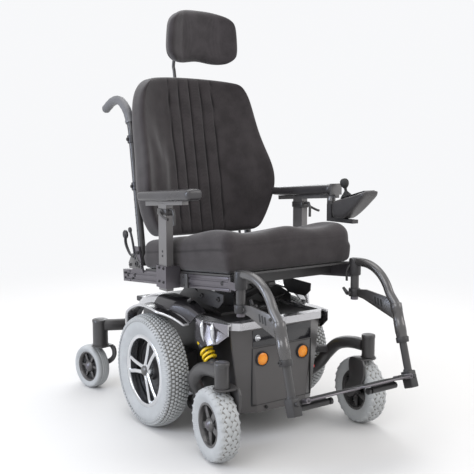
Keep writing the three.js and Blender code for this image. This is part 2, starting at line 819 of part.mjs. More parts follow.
const padBlock = reshape(new THREE.BoxGeometry(2, 2, 1, 4, 8, 2), (x, y, z) => {
  const along = (pad.frontY + pad.rearY) / 2 + (y * (pad.rearY - pad.frontY)) / 2;
  const nose = Math.abs(y) > 0.9 ? 0.78 : 1;
  const crown = z > 0 ? -5 * x * x : 0;
  const thick = pad.thickness * (1 - 0.12 * (y > 0 ? y : 0));
  return [
    pad.x + ((x * pad.width) / 2) * nose * (z === 0 ? 1 : 0.9),
    along,
    padZ(along) - pad.thickness + (z + 0.5) * thick + crown,
  ];
});
placeBoth("arm_pad", padBlock, foamPad);

// ---- joystick on the left armrest ----

const podMid = joystick.rearY - joystick.length / 2;
const podTop = joystick.bottomZ + joystick.height;
const riseOver = joystick.length * 0.27;
const podRoof = (front) => podTop + riseOver * front;
const podFloor = (front) =>
  joystick.bottomZ + (joystick.noseZ - joystick.bottomZ) * Math.max(0, (front - 0.3) / 0.7) ** 1.3;
const armFrom = joystick.rearY + 14;
place(
  "joystick_arm",
  join(
    bar([armrest.x, swingY, swingZ - 12], [armrest.x, swingY, swingZ - 1 - gap], 14, 12),
    bar([armrest.x, swingY, swingZ - 10], [armrest.x, swingY, swingZ + 8], 5, 12),
    box(armrest.x - 12, armrest.x + 12, armFrom, armFrom + 22, joystick.bottomZ - 12, swingZ - 11),
    box(armrest.x - 12, armrest.x + 12, joystick.rearY - 85, armFrom + 22,
      joystick.bottomZ - 12, joystick.bottomZ - gap),
  ),
  blackSteel,
  left,
);
const podShape = reshape(new THREE.BoxGeometry(2, 2, 1, 4, 8, 2), (x, y, z) => {
  const front = (1 - y) / 2;
  const floor = podFloor(front);
  const taper = 1 - 0.12 * y * y;
  return [
    joystick.x + ((x * joystick.width) / 2) * taper * (z === 0 ? 1 : 0.88),
    podMid + (y * joystick.length) / 2,
    floor + (z + 0.5) * (podRoof(front) - floor),
  ];
});
const cableEnd = armrest.x + 12 + 2 * gap;
const cablePath = [
  [joystick.x + 14, joystick.rearY + gap + 1, joystick.bottomZ + 18],
  [joystick.x + 18, joystick.rearY + 10, joystick.bottomZ + 14],
  [joystick.x + 20, joystick.rearY + 26, joystick.bottomZ + 22],
  [cableEnd + 8, armFrom + 12, joystick.bottomZ + 34],
  [cableEnd, armFrom + 11, joystick.bottomZ + 36],
];
place("joystick_cable", bent(cablePath, 2.2, 4, 10), blackPlastic, left);
place("joystick_pod", podShape, blackPlastic, left);
const stickBack = 40;
place(
  "joystick_stick",
  new THREE.LatheGeometry(
    [
      [0, 0],
      [4, 0],
      [4, 5],
      [17, 5.5],
      [11, 14],
      [5, 20],
      [5, 31],
      [12, 39],
      [14, 50],
      [9, 60],
      [0, 62],
    ].map(([r, a]) => new THREE.Vector2(r, a)),
    14,
  )
    .rotateX(Math.PI / 2)
    .rotateX(-radians(joystick.noseUp))
    .translate(
      joystick.x,
      joystick.rearY - stickBack,
      podRoof(stickBack / joystick.length) + 0.95,
    ),
  blackPlastic,
  left,
);

// ---- backrest ----

const caneAt = (up, along = 0) => [
  cane.x,
  cane.pivotY + up * sin(cane.lean) + along,
  cane.pivotZ + up * cos(cane.lean),
];
const straightTop = cane.straight;
const canePath = [
  caneAt(-8),
  caneAt(60),
  caneAt(straightTop / 2),
  caneAt(straightTop - 40),
  caneAt(straightTop + 22, 4),
  caneAt(straightTop + 82, 22),
  caneAt(straightTop + 118, 80),
  caneAt(straightTop + 114, 130),
  caneAt(straightTop + 84, 188),
];
const collarUps = [258, 415];
const caneShape = join(
  bent(canePath, cane.radius, 4, 11),
  ...collarUps.map((up) => bar(caneAt(up - 13), caneAt(up + 13), cane.collar, 8)),
  bar([cane.x - 6, cane.pivotY, cane.pivotZ], [plateFrom + 9, cane.pivotY, cane.pivotZ], 6, 12),
);
placeBoth("back_cane", caneShape, blackSteel);

// The half width narrows towards the foot and, more gently, towards the top.
const backHalf = (v) => {
  const up = v / back.height;
  const low = Math.max(0, 1 - up / 0.3);
  const high = Math.max(0, (up - 0.3) / 0.7);
  return back.halfWidth * (1 - 0.1 * low ** 2 - 0.13 * high ** 1.6 - 0.06 * high ** 10);
};
const hollow = (x) => Math.abs(x) ** 2.3;
const leanBack = (x, v, depth) => [
  x,
  back.footY + v * sin(back.lean) + depth * cos(back.lean),
  back.footZ + v * cos(back.lean) - depth * sin(back.lean),
];
// A place on the cushion: x and z run from -1 to 1 over its width and height, y from front to rear.
function backPlace(x, y, z, behind = 0) {
  const v = ((z + 1) / 2) * back.height;
  const side = 1 - (z > 0 ? 0.16 : 0.1) * Math.abs(z) ** 8 * Math.abs(x) ** 4;
  const front = (1 - y) / 2;
  const thin = 1 - 0.35 * Math.abs(z) ** 8;
  const depth = back.thickness * (1 - front) * thin + back.thickness * 0.5 * (1 - thin);
  const wrapped = back.wrap * hollow(x) * (0.62 + 0.38 * front) * (1 - 0.3 * ((z + 1) / 2));
  return leanBack(x * backHalf(v) * side * (y === 0 ? 1 : 0.97), v, depth - wrapped + behind);
}
const backCushion = solid(reshape(new THREE.BoxGeometry(2, 2, 2, 10, 2, 8), backPlace));
place("back_cushion", backCushion, fabric);

const shellBlock = reshape(new THREE.BoxGeometry(1.6, 2, 1.5, 8, 1, 6), (x, y, z) =>
  backPlace(x, 1, z, y > 0 ? back.shell + 3 * gap : 3 * gap),
);
const rodDepth = headRod.offset;
const rodAt = (v) => leanBack(0, v, rodDepth);
const clampFrom = back.height - 150;
const clampTo = back.height - 60;
const block = (x0, x1, v0, v1, d0, d1) =>
  box(x0, x1, d0, d1, v0, v1).rotateX(-radians(back.lean)).translate(0, back.footY, back.footZ);
const caneEar = (side, up) => {
  const [, y, z] = caneAt(up);
  const inner = side * (cane.x - cane.collar - 44);
  const reach = side * (cane.x - cane.collar - gap);
  return box(Math.min(inner, reach), Math.max(inner, reach), y - 14, y + 8, z - 10, z + 10);
};
place(
  "back_shell",
  cut(
    join(
      shellBlock,
      block(-18, 18, clampFrom, clampTo, back.thickness + 4, rodDepth + 16),
      ...[1, -1].flatMap((side) => collarUps.map((up) => caneEar(side, up))),
    ),
    bar(rodAt(clampFrom - 10), rodAt(clampTo + 10), headRod.radius + gap, 12),
    backCushion.translate([0, 2 * gap, 0]),
    ...[1, -1].map((side) => bent(canePath.map(([x, y, z]) => [side * x, y, z]), cane.radius + 2, 4, 11)),
  ),
  blackPlastic,
);

// ---- headrest ----

const headZ = headrest.bottomZ + headrest.height / 2;
const rodEndZ = headZ;
const rodTop = rodAt(headRod.topV);
const rodShape = cut(
  join(
    bar(rodAt(headRod.footV), rodAt(headRod.topV), headRod.radius, 12),
    bent(
      [
        rodAt(headRod.topV - 6),
        rodAt(headRod.topV + 20),
        [0, rodTop[1] - 18, rodEndZ - 14],
        [0, headRod.pivotY + 48, rodEndZ - 2],
        [0, headRod.pivotY + headRod.eye - 2, rodEndZ],
      ],
      headRod.radius,
      4,
      7,
    ),
    bar([-8, headRod.pivotY, rodEndZ], [8, headRod.pivotY, rodEndZ], headRod.eye, 12),
  ),
  bar([-9, headRod.pivotY, rodEndZ], [9, headRod.pivotY, rodEndZ], headRod.pin + bearingGap, 12),
);
place("headrest_rod", rodShape, blackSteel);

const headRear = headrest.frontY + headrest.thickness;
place(
  "headrest_bracket",
  join(
    box(-40, 40, headRear + gap, headRear + 5, headZ - 34, headZ + 34),
    box(9, 15, headRear + 4, headRod.pivotY + 10, headZ - 10, headZ + 10),
    box(-15, -9, headRear + 4, headRod.pivotY + 10, headZ - 10, headZ + 10),
    bar([-15, headRod.pivotY, headZ], [15, headRod.pivotY, headZ], headRod.pin, 12),
  ),
  blackSteel,
);
const headBlock = reshape(new THREE.BoxGeometry(2, 2, 2, 8, 2, 4), (x, y, z) => {
  const height = (headrest.height / 2) * (1 - 0.22 * Math.abs(x) ** 3);
  const half = headrest.halfWidth * (1 - 0.16 * z ** 4);
  const wrap = headrest.wing * Math.abs(x) ** 2.4;
  const flat = Math.abs(x) < 0.3 && y > 0 ? 0 : 1;
  const soft = 1 - 0.3 * Math.max(Math.abs(x) ** 8, z ** 8);
  const depth = (y * headrest.thickness * (flat ? soft : 1)) / 2;
  return [x * half, headrest.frontY + headrest.thickness / 2 + depth - wrap, headZ + z * height];
});
place("headrest_pad", headBlock, fabric);

// ---- legrests ----

const tubeTop = legrest.postTopZ + gap + 6;
const lowerLean = 16.1;
const lowerAt = (up) => [
  legrest.x,
  foot.pivotY + 17 + up * sin(lowerLean),
  foot.pivotZ + 4 + up * cos(lowerLean),
];
const sleeveFrom = 92;
const sleeveTo = 200;
const boreTo = sleeveFrom + 96;
const hangerPath = [
  [legrest.x, legrest.y - 4, tubeTop],
  [legrest.x, legrest.y - 44, tubeTop - 10],
  [legrest.x, legrest.y - 110, tubeTop - 38],
  [legrest.x, lowerAt(0)[1] + 75, lowerAt(sleeveTo + 32)[2]],
  lowerAt(sleeveTo + 4),
  lowerAt(sleeveTo - 20),
];
const collarFoot = legrest.postFootZ + 10;
const hanger = cut(
  join(
    bent(hangerPath, legrest.tube, 4, 8),
    bar(lowerAt(sleeveFrom), lowerAt(sleeveTo), legrest.tube + 1, 12),
    bar([legrest.x, legrest.y, railMid + 30], [legrest.x, legrest.y, tubeTop + 8], legrest.tube + 2, 12),
    bar([legrest.x, legrest.y, collarFoot], [legrest.x, legrest.y, collarFoot + 24],
      legrest.tube + 2, 12),
    plateX(
      [
        [legrest.y, collarFoot + 2],
        [legrest.y, collarFoot + 22],
        [lowerAt(sleeveTo - 6)[1], collarFoot + 26],
        [lowerAt(sleeveTo - 60)[1], collarFoot - 34],
      ],
      legrest.x - 3,
      legrest.x + 3,
    ),
  ),
  bar([legrest.x, legrest.y, 0], [legrest.x, legrest.y, legrest.postTopZ + gap],
    legrest.post + bearingGap, 12),
  bar(lowerAt(sleeveFrom - 10), lowerAt(boreTo), legrest.inner + gap + 0.2, 12),
);
placeBoth("legrest_hanger", hanger, greySteel);

const toe = [0, -cos(foot.toeUp), sin(foot.toeUp)];
const rise = [0, sin(foot.toeUp), cos(foot.toeUp)];
const onFoot = (geometry) =>
  geometry.applyMatrix4(
    new THREE.Matrix4().makeBasis(
      new THREE.Vector3(1, 0, 0),
      new THREE.Vector3(...toe).negate(),
      new THREE.Vector3(...rise),
    ),
  ).translate(legrest.x, foot.pivotY, foot.pivotZ);
// The footplate flips up about a pin that runs fore and aft through the foot of the tube.
const pinAt = (from, to, radius) =>
  onFoot(bar([-foot.hingeIn, from, 0], [-foot.hingeIn, to, 0], radius, 10));
const earFrom = 4;
const earTo = 28;
placeBoth(
  "legrest_tube",
  join(
    bar(lowerAt(0), lowerAt(sleeveFrom + 66), legrest.inner, 12),
    onFoot(box(-14, 14, -1, 33, -34, 14)),
    onFoot(box(-foot.hingeIn, -13, earFrom, earTo, -7, 7)),
    pinAt(earFrom, earTo, 8),
    pinAt(-foot.front, 50, foot.pin),
    onFoot(bar([0, 0, -2], [0, -7, -2], 6, 12)),
  ),
  blackSteel,
);
const plateInner = foot.halfGap - legrest.x;
const plateOuter = -foot.hingeIn - 5;
const barY = 39;
const barZ = -17;
placeBoth(
  "footplate",
  cut(
    join(
      onFoot(box(plateInner, plateOuter, -foot.front, foot.rear, -foot.plate / 2, foot.plate / 2)),
      pinAt(-foot.front + 1, earFrom - bearingGap, 7),
      pinAt(earTo + bearingGap, 49, 7),
      onFoot(bar([plateOuter - 7, barY, barZ], [-133, barY, barZ], 9, 8)),
      onFoot(bar([-132, barY, barZ], [-148, barY, barZ], 7, 8)),
      onFoot(box(-128, plateOuter - 10, barY - 4, barY + 4, barZ + 4, 0)),
    ),
    onFoot(box(-foot.hingeIn - 11, 0, earFrom - bearingGap, earTo + bearingGap, -10, 10)),
    pinAt(-foot.front - 1, 51, foot.pin + bearingGap),
  ),
  blackSteel,
);

// The group's origin is on the floor, at the middle of the chair's length and width.
const length = new THREE.Box3().setFromObject(chair, true);
chair.position.y = -(length.min.y + length.max.y) / 2;

export default chair;
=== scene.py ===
import bpy
import bmesh
import math
from mathutils import Matrix, Vector


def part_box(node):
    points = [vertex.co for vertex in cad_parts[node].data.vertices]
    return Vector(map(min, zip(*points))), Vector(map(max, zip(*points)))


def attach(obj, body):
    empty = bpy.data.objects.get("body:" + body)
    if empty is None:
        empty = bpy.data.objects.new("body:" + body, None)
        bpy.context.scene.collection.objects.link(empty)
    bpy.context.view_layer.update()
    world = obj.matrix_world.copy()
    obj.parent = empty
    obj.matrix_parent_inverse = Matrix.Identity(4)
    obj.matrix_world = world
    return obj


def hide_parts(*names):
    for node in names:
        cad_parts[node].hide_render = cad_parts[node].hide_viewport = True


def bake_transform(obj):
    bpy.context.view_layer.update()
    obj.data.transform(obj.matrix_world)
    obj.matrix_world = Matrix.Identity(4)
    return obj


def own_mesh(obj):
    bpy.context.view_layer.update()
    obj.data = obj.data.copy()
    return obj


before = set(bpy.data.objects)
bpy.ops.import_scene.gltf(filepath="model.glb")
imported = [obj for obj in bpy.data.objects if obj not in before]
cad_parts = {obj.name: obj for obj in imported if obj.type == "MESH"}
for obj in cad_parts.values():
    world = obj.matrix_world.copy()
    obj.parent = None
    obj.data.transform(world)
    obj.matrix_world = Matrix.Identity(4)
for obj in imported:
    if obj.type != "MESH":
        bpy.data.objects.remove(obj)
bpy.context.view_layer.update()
scene = bpy.context.scene
tyreLow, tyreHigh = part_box("drive_tyre_left")
axleY = (tyreLow.y + tyreHigh.y) / 2  # the drive axle's place along the chair
layoutShift = axleY - 0.020


def spot(x, y, z):
    # millimetres from the floor under the seat's middle, as a point in the row frame
    return Vector((x / 1000, y / 1000 + layoutShift, z / 1000))


# ---- camera, light and floor

view = {"place": (-1.4278, -2.0909, 0.8741), "pitch": 83.43, "turn": -35.05, "lens": 58.95}
lens = bpy.data.cameras.new("view")
lens.lens = view["lens"]
lens.sensor_width = 36
lens.clip_end = 60
cameraObject = bpy.data.objects.new("view", lens)
cameraObject.location = Vector(view["place"]) + Vector((0, layoutShift, 0))
cameraObject.rotation_euler = (math.radians(view["pitch"]), 0, math.radians(view["turn"]))
scene.collection.objects.link(cameraObject)
scene.camera = cameraObject
scene.view_settings.view_transform = "Standard"


def addLight(name, place, aim, size, power, tint):
    lamp = bpy.data.lights.new(name, "AREA")
    lamp.shape = "RECTANGLE"
    lamp.size, lamp.size_y = size
    lamp.energy = power
    lamp.color = tint
    lampObject = bpy.data.objects.new(name, lamp)
    lampObject.location = place
    lampObject.rotation_euler = (Vector(aim) - Vector(place)).to_track_quat("-Z", "Y").to_euler()
    scene.collection.objects.link(lampObject)


# each line gives a place, the point it faces, a size, a power and a tint
addLight("keySoftbox", (-3.2, -1.6, 3.0), (0, 0, 0.6), (2.2, 2.2), 50, (0.94, 0.965, 1.0))
addLight("fillSoftbox", (2.6, -3.2, 2.4), (0, 0, 0.6), (2.4, 2.0), 44, (1.0, 0.975, 0.955))
addLight("topSoftbox", (0.2, 0.6, 4.0), (0, 0, 0.5), (3.0, 3.0), 60, (1.0, 0.995, 0.99))
addLight("sideStrip", (-3.0, 0.9, 1.15), (0, 0, 0.8), (0.8, 1.5), 40, (0.72, 0.81, 1.0))
addLight("rimSoftbox", (1.8, 3.0, 2.2), (0, 0, 0.7), (1.6, 2.2), 30, (0.95, 0.98, 1.0))

studio = {"colour": (0.935, 0.94, 0.955, 1), "ambient": 1.27, "floorRadius": 9.0}
world = bpy.data.worlds.new("studio")
scene.world = world
world.use_nodes = True
tree = world.node_tree
tree.nodes.clear()
rays = tree.nodes.new("ShaderNodeLightPath")
seen = tree.nodes.new("ShaderNodeMath")
seen.operation = "MAXIMUM"
seenToo = tree.nodes.new("ShaderNodeMath")
seenToo.operation = "MAXIMUM"
tree.links.new(rays.outputs["Is Camera Ray"], seen.inputs[0])
tree.links.new(rays.outputs["Is Transmission Ray"], seen.inputs[1])
ambient = tree.nodes.new("ShaderNodeBackground")
ambient.inputs["Color"].default_value = (0.985, 0.98, 0.985, 1)
ambient.inputs["Strength"].default_value = studio["ambient"]
backdrop = tree.nodes.new("ShaderNodeBackground")
backdrop.inputs["Color"].default_value = studio["colour"]
backdrop.inputs["Strength"].default_value = 1.0
tree.links.new(seen.outputs[0], seenToo.inputs[0])
tree.links.new(rays.outputs["Is Glossy Ray"], seenToo.inputs[1])
mixShader = tree.nodes.new("ShaderNodeMixShader")
worldOut = tree.nodes.new("ShaderNodeOutputWorld")
tree.links.new(seenToo.outputs[0], mixShader.inputs["Fac"])
tree.links.new(ambient.outputs[0], mixShader.inputs[1])
tree.links.new(backdrop.outputs[0], mixShader.inputs[2])
tree.links.new(mixShader.outputs[0], worldOut.inputs["Surface"])


def makeFloor():
    bm = bmesh.new()
    bmesh.ops.create_circle(bm, cap_ends=True, radius=studio["floorRadius"], segments=64)
    mesh = bpy.data.meshes.new("floor")
    bm.to_mesh(mesh)
    bm.free()
    floor = bpy.data.objects.new("floor", mesh)
    scene.collection.objects.link(floor)
    paint = bpy.data.materials.new("paleFloor")
    paint.use_nodes = True
    nodes, links = paint.node_tree.nodes, paint.node_tree.links
    nodes.clear()
    where = nodes.new("ShaderNodeTexCoord")
    distance = nodes.new("ShaderNodeVectorMath")
    distance.operation = "LENGTH"
    fade = nodes.new("ShaderNodeMapRange")
    fade.interpolation_type = "SMOOTHSTEP"
    fade.inputs["From Min"].default_value = 1.3
    fade.inputs["From Max"].default_value = 3.4
    diffuse = nodes.new("ShaderNodeBsdfDiffuse")
    diffuse.inputs["Color"].default_value = (0.575, 0.573, 0.57, 1)
    glow = nodes.new("ShaderNodeEmission")
    glow.inputs["Color"].default_value = studio["colour"]
    path = nodes.new("ShaderNodeLightPath")
    glossy = nodes.new("ShaderNodeMath")
    glossy.operation = "MAXIMUM"
    anyView = nodes.new("ShaderNodeMath")
    anyView.operation = "MAXIMUM"
    byView = nodes.new("ShaderNodeMath")
    byView.operation = "MULTIPLY"
    mix = nodes.new("ShaderNodeMixShader")
    out = nodes.new("ShaderNodeOutputMaterial")
    links.new(where.outputs["Object"], distance.inputs[0])
    links.new(distance.outputs["Value"], fade.inputs["Value"])
    links.new(fade.outputs[0], byView.inputs[0])
    links.new(path.outputs["Is Camera Ray"], glossy.inputs[0])
    links.new(path.outputs["Is Glossy Ray"], glossy.inputs[1])
    links.new(glossy.outputs[0], anyView.inputs[0])
    links.new(path.outputs["Is Transmission Ray"], anyView.inputs[1])
    links.new(anyView.outputs[0], byView.inputs[1])
    links.new(byView.outputs[0], mix.inputs["Fac"])
    links.new(diffuse.outputs[0], mix.inputs[1])
    links.new(glow.outputs[0], mix.inputs[2])
    links.new(mix.outputs[0], out.inputs["Surface"])
    mesh.materials.append(paint)


makeFloor()
print("camera, light and floor are ready")

# ---- shader node groups


def startGroup(name, inputs, outputs):
    group = bpy.data.node_groups.new(name, "ShaderNodeTree")
    for socketName, kind, value in inputs:
        socket = group.interface.new_socket(name=socketName, in_out="INPUT", socket_type=kind)
        socket.default_value = value
    for socketName, kind in outputs:
        group.interface.new_socket(name=socketName, in_out="OUTPUT", socket_type=kind)
    return group, group.nodes.new("NodeGroupInput"), group.nodes.new("NodeGroupOutput")


def mathNode(tree, operation, first, second=None):
    node = tree.nodes.new("ShaderNodeMath")
    node.operation = operation
    for index, value in enumerate((first, second)):
        if value is None:
            continue
        if isinstance(value, (int, float)):
            node.inputs[index].default_value = value
        else:
            tree.links.new(value, node.inputs[index])
    return node.outputs[0]


def makeGrainGroup():
    # fine speckle that breaks up gloss, with a slower cloud on top of it
    group, given, made = startGroup(
        "fineGrain",
        [("Scale", "NodeSocketFloat", 900.0), ("Cloud", "NodeSocketFloat", 14.0)],
        [("Height", "NodeSocketFloat"), ("Cloud", "NodeSocketFloat")],
    )
    where = group.nodes.new("ShaderNodeTexCoord")
    speck = group.nodes.new("ShaderNodeTexNoise")
    speck.inputs["Detail"].default_value = 3
    cloud = group.nodes.new("ShaderNodeTexNoise")
    cloud.inputs["Detail"].default_value = 5
    for texture, socketName in ((speck, "Scale"), (cloud, "Cloud")):
        group.links.new(where.outputs["Object"], texture.inputs["Vector"])
        group.links.new(given.outputs[socketName], texture.inputs["Scale"])
    group.links.new(speck.outputs["Fac"], made.inputs["Height"])
    group.links.new(cloud.outputs["Fac"], made.inputs["Cloud"])
    return group


def makeTintGroup():
    # a base colour that drifts a little lighter and darker, with lighter specks: mostly wear, but painted
    # glints on the amber lens
    group, given, made = startGroup(
        "tintDrift",
        [
            ("Colour", "NodeSocketColor", (0.5, 0.5, 0.5, 1)),
            ("WornAndGlint", "NodeSocketColor", (0.6, 0.6, 0.6, 1)),
            ("Mask", "NodeSocketFloat", 0.5),
            ("Amount", "NodeSocketFloat", 0.3),
        ],
        [("Colour", "NodeSocketColor")],
    )
    ramp = group.nodes.new("ShaderNodeMapRange")
    ramp.interpolation_type = "SMOOTHSTEP"
    ramp.inputs["From Min"].default_value = 0.42
    ramp.inputs["From Max"].default_value = 0.72
    group.links.new(given.outputs["Mask"], ramp.inputs["Value"])
    share = mathNode(group, "MULTIPLY", ramp.outputs[0], given.outputs["Amount"])
    mix = group.nodes.new("ShaderNodeMix")
    mix.data_type = "RGBA"
    group.links.new(share, mix.inputs["Factor"])
    group.links.new(given.outputs["Colour"], mix.inputs[6])
    group.links.new(given.outputs["WornAndGlint"], mix.inputs[7])
    group.links.new(mix.outputs[2], made.inputs["Colour"])
    return group


def makeKnitGroup():
    # small looped stitches with loose fibres over them
    group, given, made = startGroup(
        "stretchKnit",
        [("Stitch", "NodeSocketFloat", 520.0), ("Fuzz", "NodeSocketFloat", 0.35)],
        [("Height", "NodeSocketFloat"), ("Shade", "NodeSocketFloat")],
    )
    where = group.nodes.new("ShaderNodeTexCoord")
    squeeze = group.nodes.new("ShaderNodeMapping")
    squeeze.inputs["Scale"].default_value = (1.0, 0.8, 0.55)
    loops = group.nodes.new("ShaderNodeTexVoronoi")
    loops.inputs["Randomness"].default_value = 0.35
    fibre = group.nodes.new("ShaderNodeTexNoise")
    fibre.inputs["Scale"].default_value = 1600
    fibre.inputs["Detail"].default_value = 4
    patch = group.nodes.new("ShaderNodeTexNoise")
    patch.inputs["Scale"].default_value = 24
    patch.inputs["Detail"].default_value = 6
    group.links.new(where.outputs["Object"], squeeze.inputs["Vector"])
    group.links.new(squeeze.outputs[0], loops.inputs["Vector"])
    group.links.new(given.outputs["Stitch"], loops.inputs["Scale"])
    group.links.new(where.outputs["Object"], fibre.inputs["Vector"])
    group.links.new(where.outputs["Object"], patch.inputs["Vector"])
    fuzz = mathNode(group, "MULTIPLY", fibre.outputs["Fac"], given.outputs["Fuzz"])
    loopHeight = mathNode(group, "SUBTRACT", 1.0, loops.outputs["Distance"])
    group.links.new(mathNode(group, "ADD", loopHeight, fuzz), made.inputs["Height"])
    dark = mathNode(group, "MULTIPLY", loops.outputs["Distance"], 0.5)
    group.links.new(mathNode(group, "ADD", dark, mathNode(group, "MULTIPLY", patch.outputs["Fac"], 0.7)),
                    made.inputs["Shade"])
    return group


grainGroup = makeGrainGroup()
tintGroup = makeTintGroup()
knitGroup = makeKnitGroup()


def startMaterial(name):
    material = bpy.data.materials.new(name)
    material.use_nodes = True
    nodes = material.node_tree.nodes
    return material, material.node_tree, nodes["Principled BSDF"]


def placeGroup(tree, group, values):
    node = tree.nodes.new("ShaderNodeGroup")
    node.node_tree = group
    for socketName, value in values.items():
        node.inputs[socketName].default_value = value
    return node


def hardFinish(name, colour, worn, rough, metal, grain=900.0, cloud=14.0, bump=0.05, drift=0.35,
               roughDrift=0.12, coat=0.0, coatRough=0.1, specular=0.5):
    # paint, plastic or metal: speckled gloss, drifting tint and a fine bump
    material, tree, shader = startMaterial(name)
    speck = placeGroup(tree, grainGroup, {"Scale": grain, "Cloud": cloud})
    tint = placeGroup(tree, tintGroup, {"Colour": (*colour, 1), "WornAndGlint": (*worn, 1), "Amount": drift})
    tree.links.new(speck.outputs["Cloud"], tint.inputs["Mask"])
    tree.links.new(tint.outputs["Colour"], shader.inputs["Base Color"])
    uneven = tree.nodes.new("ShaderNodeMapRange")
    uneven.inputs["From Min"].default_value = 0.3
    uneven.inputs["From Max"].default_value = 0.7
    uneven.inputs["To Min"].default_value = max(0.03, rough - roughDrift / 2)
    uneven.inputs["To Max"].default_value = min(1.0, rough + roughDrift / 2)
    tree.links.new(speck.outputs["Cloud"], uneven.inputs["Value"])
    tree.links.new(uneven.outputs[0], shader.inputs["Roughness"])
    relief = tree.nodes.new("ShaderNodeBump")
    relief.inputs["Strength"].default_value = bump
    relief.inputs["Distance"].default_value = 0.0006
    tree.links.new(speck.outputs["Height"], relief.inputs["Height"])
    tree.links.new(relief.outputs[0], shader.inputs["Normal"])
    shader.inputs["Metallic"].default_value = metal
    shader.inputs["Coat Weight"].default_value = coat
    shader.inputs["Coat Roughness"].default_value = coatRough
    shader.inputs["Specular IOR Level"].default_value = specular
    return material


def knitFinish(name, colour, raised, stitch, sheen):
    material, tree, shader = startMaterial(name)
    knit = placeGroup(tree, knitGroup, {"Stitch": stitch, "Fuzz": 0.35})
    tint = placeGroup(tree, tintGroup, {"Colour": (*colour, 1), "WornAndGlint": (*raised, 1), "Amount": 0.8})
    tree.links.new(knit.outputs["Shade"], tint.inputs["Mask"])
    # painted shade: the 'seam' attribute darkens the knit nearly to black in the seam grooves and takes the
    # sheen away there
    seamShade = tree.nodes.new("ShaderNodeAttribute")
    seamShade.attribute_name = "seam"
    shaded = tree.nodes.new("ShaderNodeMix")
    shaded.data_type = "RGBA"
    shaded.inputs[7].default_value = (0.0025, 0.0022, 0.0024, 1)
    tree.links.new(mathNode(tree, "MULTIPLY", seamShade.outputs["Fac"], 0.92), shaded.inputs["Factor"])
    tree.links.new(tint.outputs["Colour"], shaded.inputs[6])
    tree.links.new(shaded.outputs[2], shader.inputs["Base Color"])
    tree.links.new(mathNode(tree, "MULTIPLY", mathNode(tree, "SUBTRACT", 1.0, seamShade.outputs["Fac"]), sheen),
                   shader.inputs["Sheen Weight"])
    relief = tree.nodes.new("ShaderNodeBump")
    relief.inputs["Strength"].default_value = 0.35
    relief.inputs["Distance"].default_value = 0.0012
    tree.links.new(knit.outputs["Height"], relief.inputs["Height"])
    tree.links.new(relief.outputs[0], shader.inputs["Normal"])
    shader.inputs["Roughness"].default_value = 0.92
    shader.inputs["Sheen Roughness"].default_value = 0.45
    shader.inputs["Specular IOR Level"].default_value = 0.25
    return material


blackPaint = hardFinish("satinBlackPaint", (0.033, 0.0315, 0.032), (0.056, 0.054, 0.055), 0.36, 0.0,
                        grain=1200, bump=0.09, coat=0.15, coatRough=0.3)
greyPaint = hardFinish("satinGreyPaint", (0.105, 0.102, 0.102), (0.15, 0.147, 0.147), 0.30, 0.7,
                       grain=1400, bump=0.07, coat=0.2, coatRough=0.25)
darkAnodised = hardFinish("darkAnodised", (0.125, 0.116, 0.128), (0.175, 0.165, 0.18), 0.34, 0.75,
                          grain=1600, bump=0.05)
blackPlastic = hardFinish("grainedBlackPlastic", (0.024, 0.023, 0.024), (0.042, 0.041, 0.042), 0.46, 0.0,
                          grain=700, bump=0.22, specular=0.45)
glossBlack = hardFinish("glossBlack", (0.010, 0.010, 0.012), (0.018, 0.018, 0.020), 0.16, 0.0,
                        grain=900, bump=0.02, coat=0.5, coatRough=0.06)
anthracite = hardFinish("anthracitePanel", (0.074, 0.070, 0.070), (0.098, 0.094, 0.094), 0.34, 0.4,
                        grain=2200, cloud=9, bump=0.05, coat=0.25, coatRough=0.25)
silverPaint = hardFinish("silverPanelPaint", (0.50, 0.50, 0.515), (0.60, 0.60, 0.615), 0.24, 0.75,
                         grain=2600, cloud=7, bump=0.03, coat=0.5, coatRough=0.08)
brightMetal = hardFinish("brightMetal", (0.62, 0.63, 0.65), (0.74, 0.75, 0.77), 0.20, 1.0,
                         grain=1800, bump=0.03, roughDrift=0.1)
dullMetal = hardFinish("zincedSteel", (0.34, 0.34, 0.35), (0.46, 0.46, 0.47), 0.36, 1.0,
                       grain=1500, bump=0.06)
fairingPaint = hardFinish("darkSilverPaint", (0.20, 0.19, 0.205), (0.27, 0.26, 0.275), 0.20, 0.85,
                          grain=2600, cloud=7, bump=0.03, coat=0.5, coatRough=0.08)
postPaint = hardFinish("satinPostPaint", (0.165, 0.16, 0.16), (0.20, 0.195, 0.195), 0.33, 0.6,
                       grain=1400, bump=0.05, coat=0.15, coatRough=0.25)
wingPaint = hardFinish("wingPaint", (0.036, 0.034, 0.037), (0.055, 0.052, 0.056), 0.22, 0.55,
                       grain=2200, cloud=9, bump=0.03, coat=0.4, coatRough=0.1)
darkCast = hardFinish("darkCastMetal", (0.036, 0.035, 0.037), (0.068, 0.066, 0.068), 0.40, 0.5,
                      grain=1000, bump=0.12)
yellowPaint = hardFinish("yellowSpringPaint", (0.74, 0.50, 0.010), (0.85, 0.62, 0.03), 0.28, 0.0,
                         grain=900, bump=0.04, coat=0.5, coatRough=0.12)
padSkin = hardFinish("armPadSkin", (0.034, 0.032, 0.034), (0.052, 0.050, 0.052), 0.30, 0.0,
                     grain=480, bump=0.3, coat=0.1, coatRough=0.4)
# painted shade: a darker rubber for the tread grooves between the blocks
grooveShadeRubber = hardFinish("grooveShadeRubber", (0.17, 0.165, 0.155), (0.21, 0.205, 0.195), 0.85, 0.0,
                          grain=420, bump=0.2, specular=0.2)
gripFoam = hardFinish("greyGripFoam", (0.105, 0.105, 0.112), (0.145, 0.145, 0.152), 0.42, 0.1,
                      grain=700, bump=0.15)
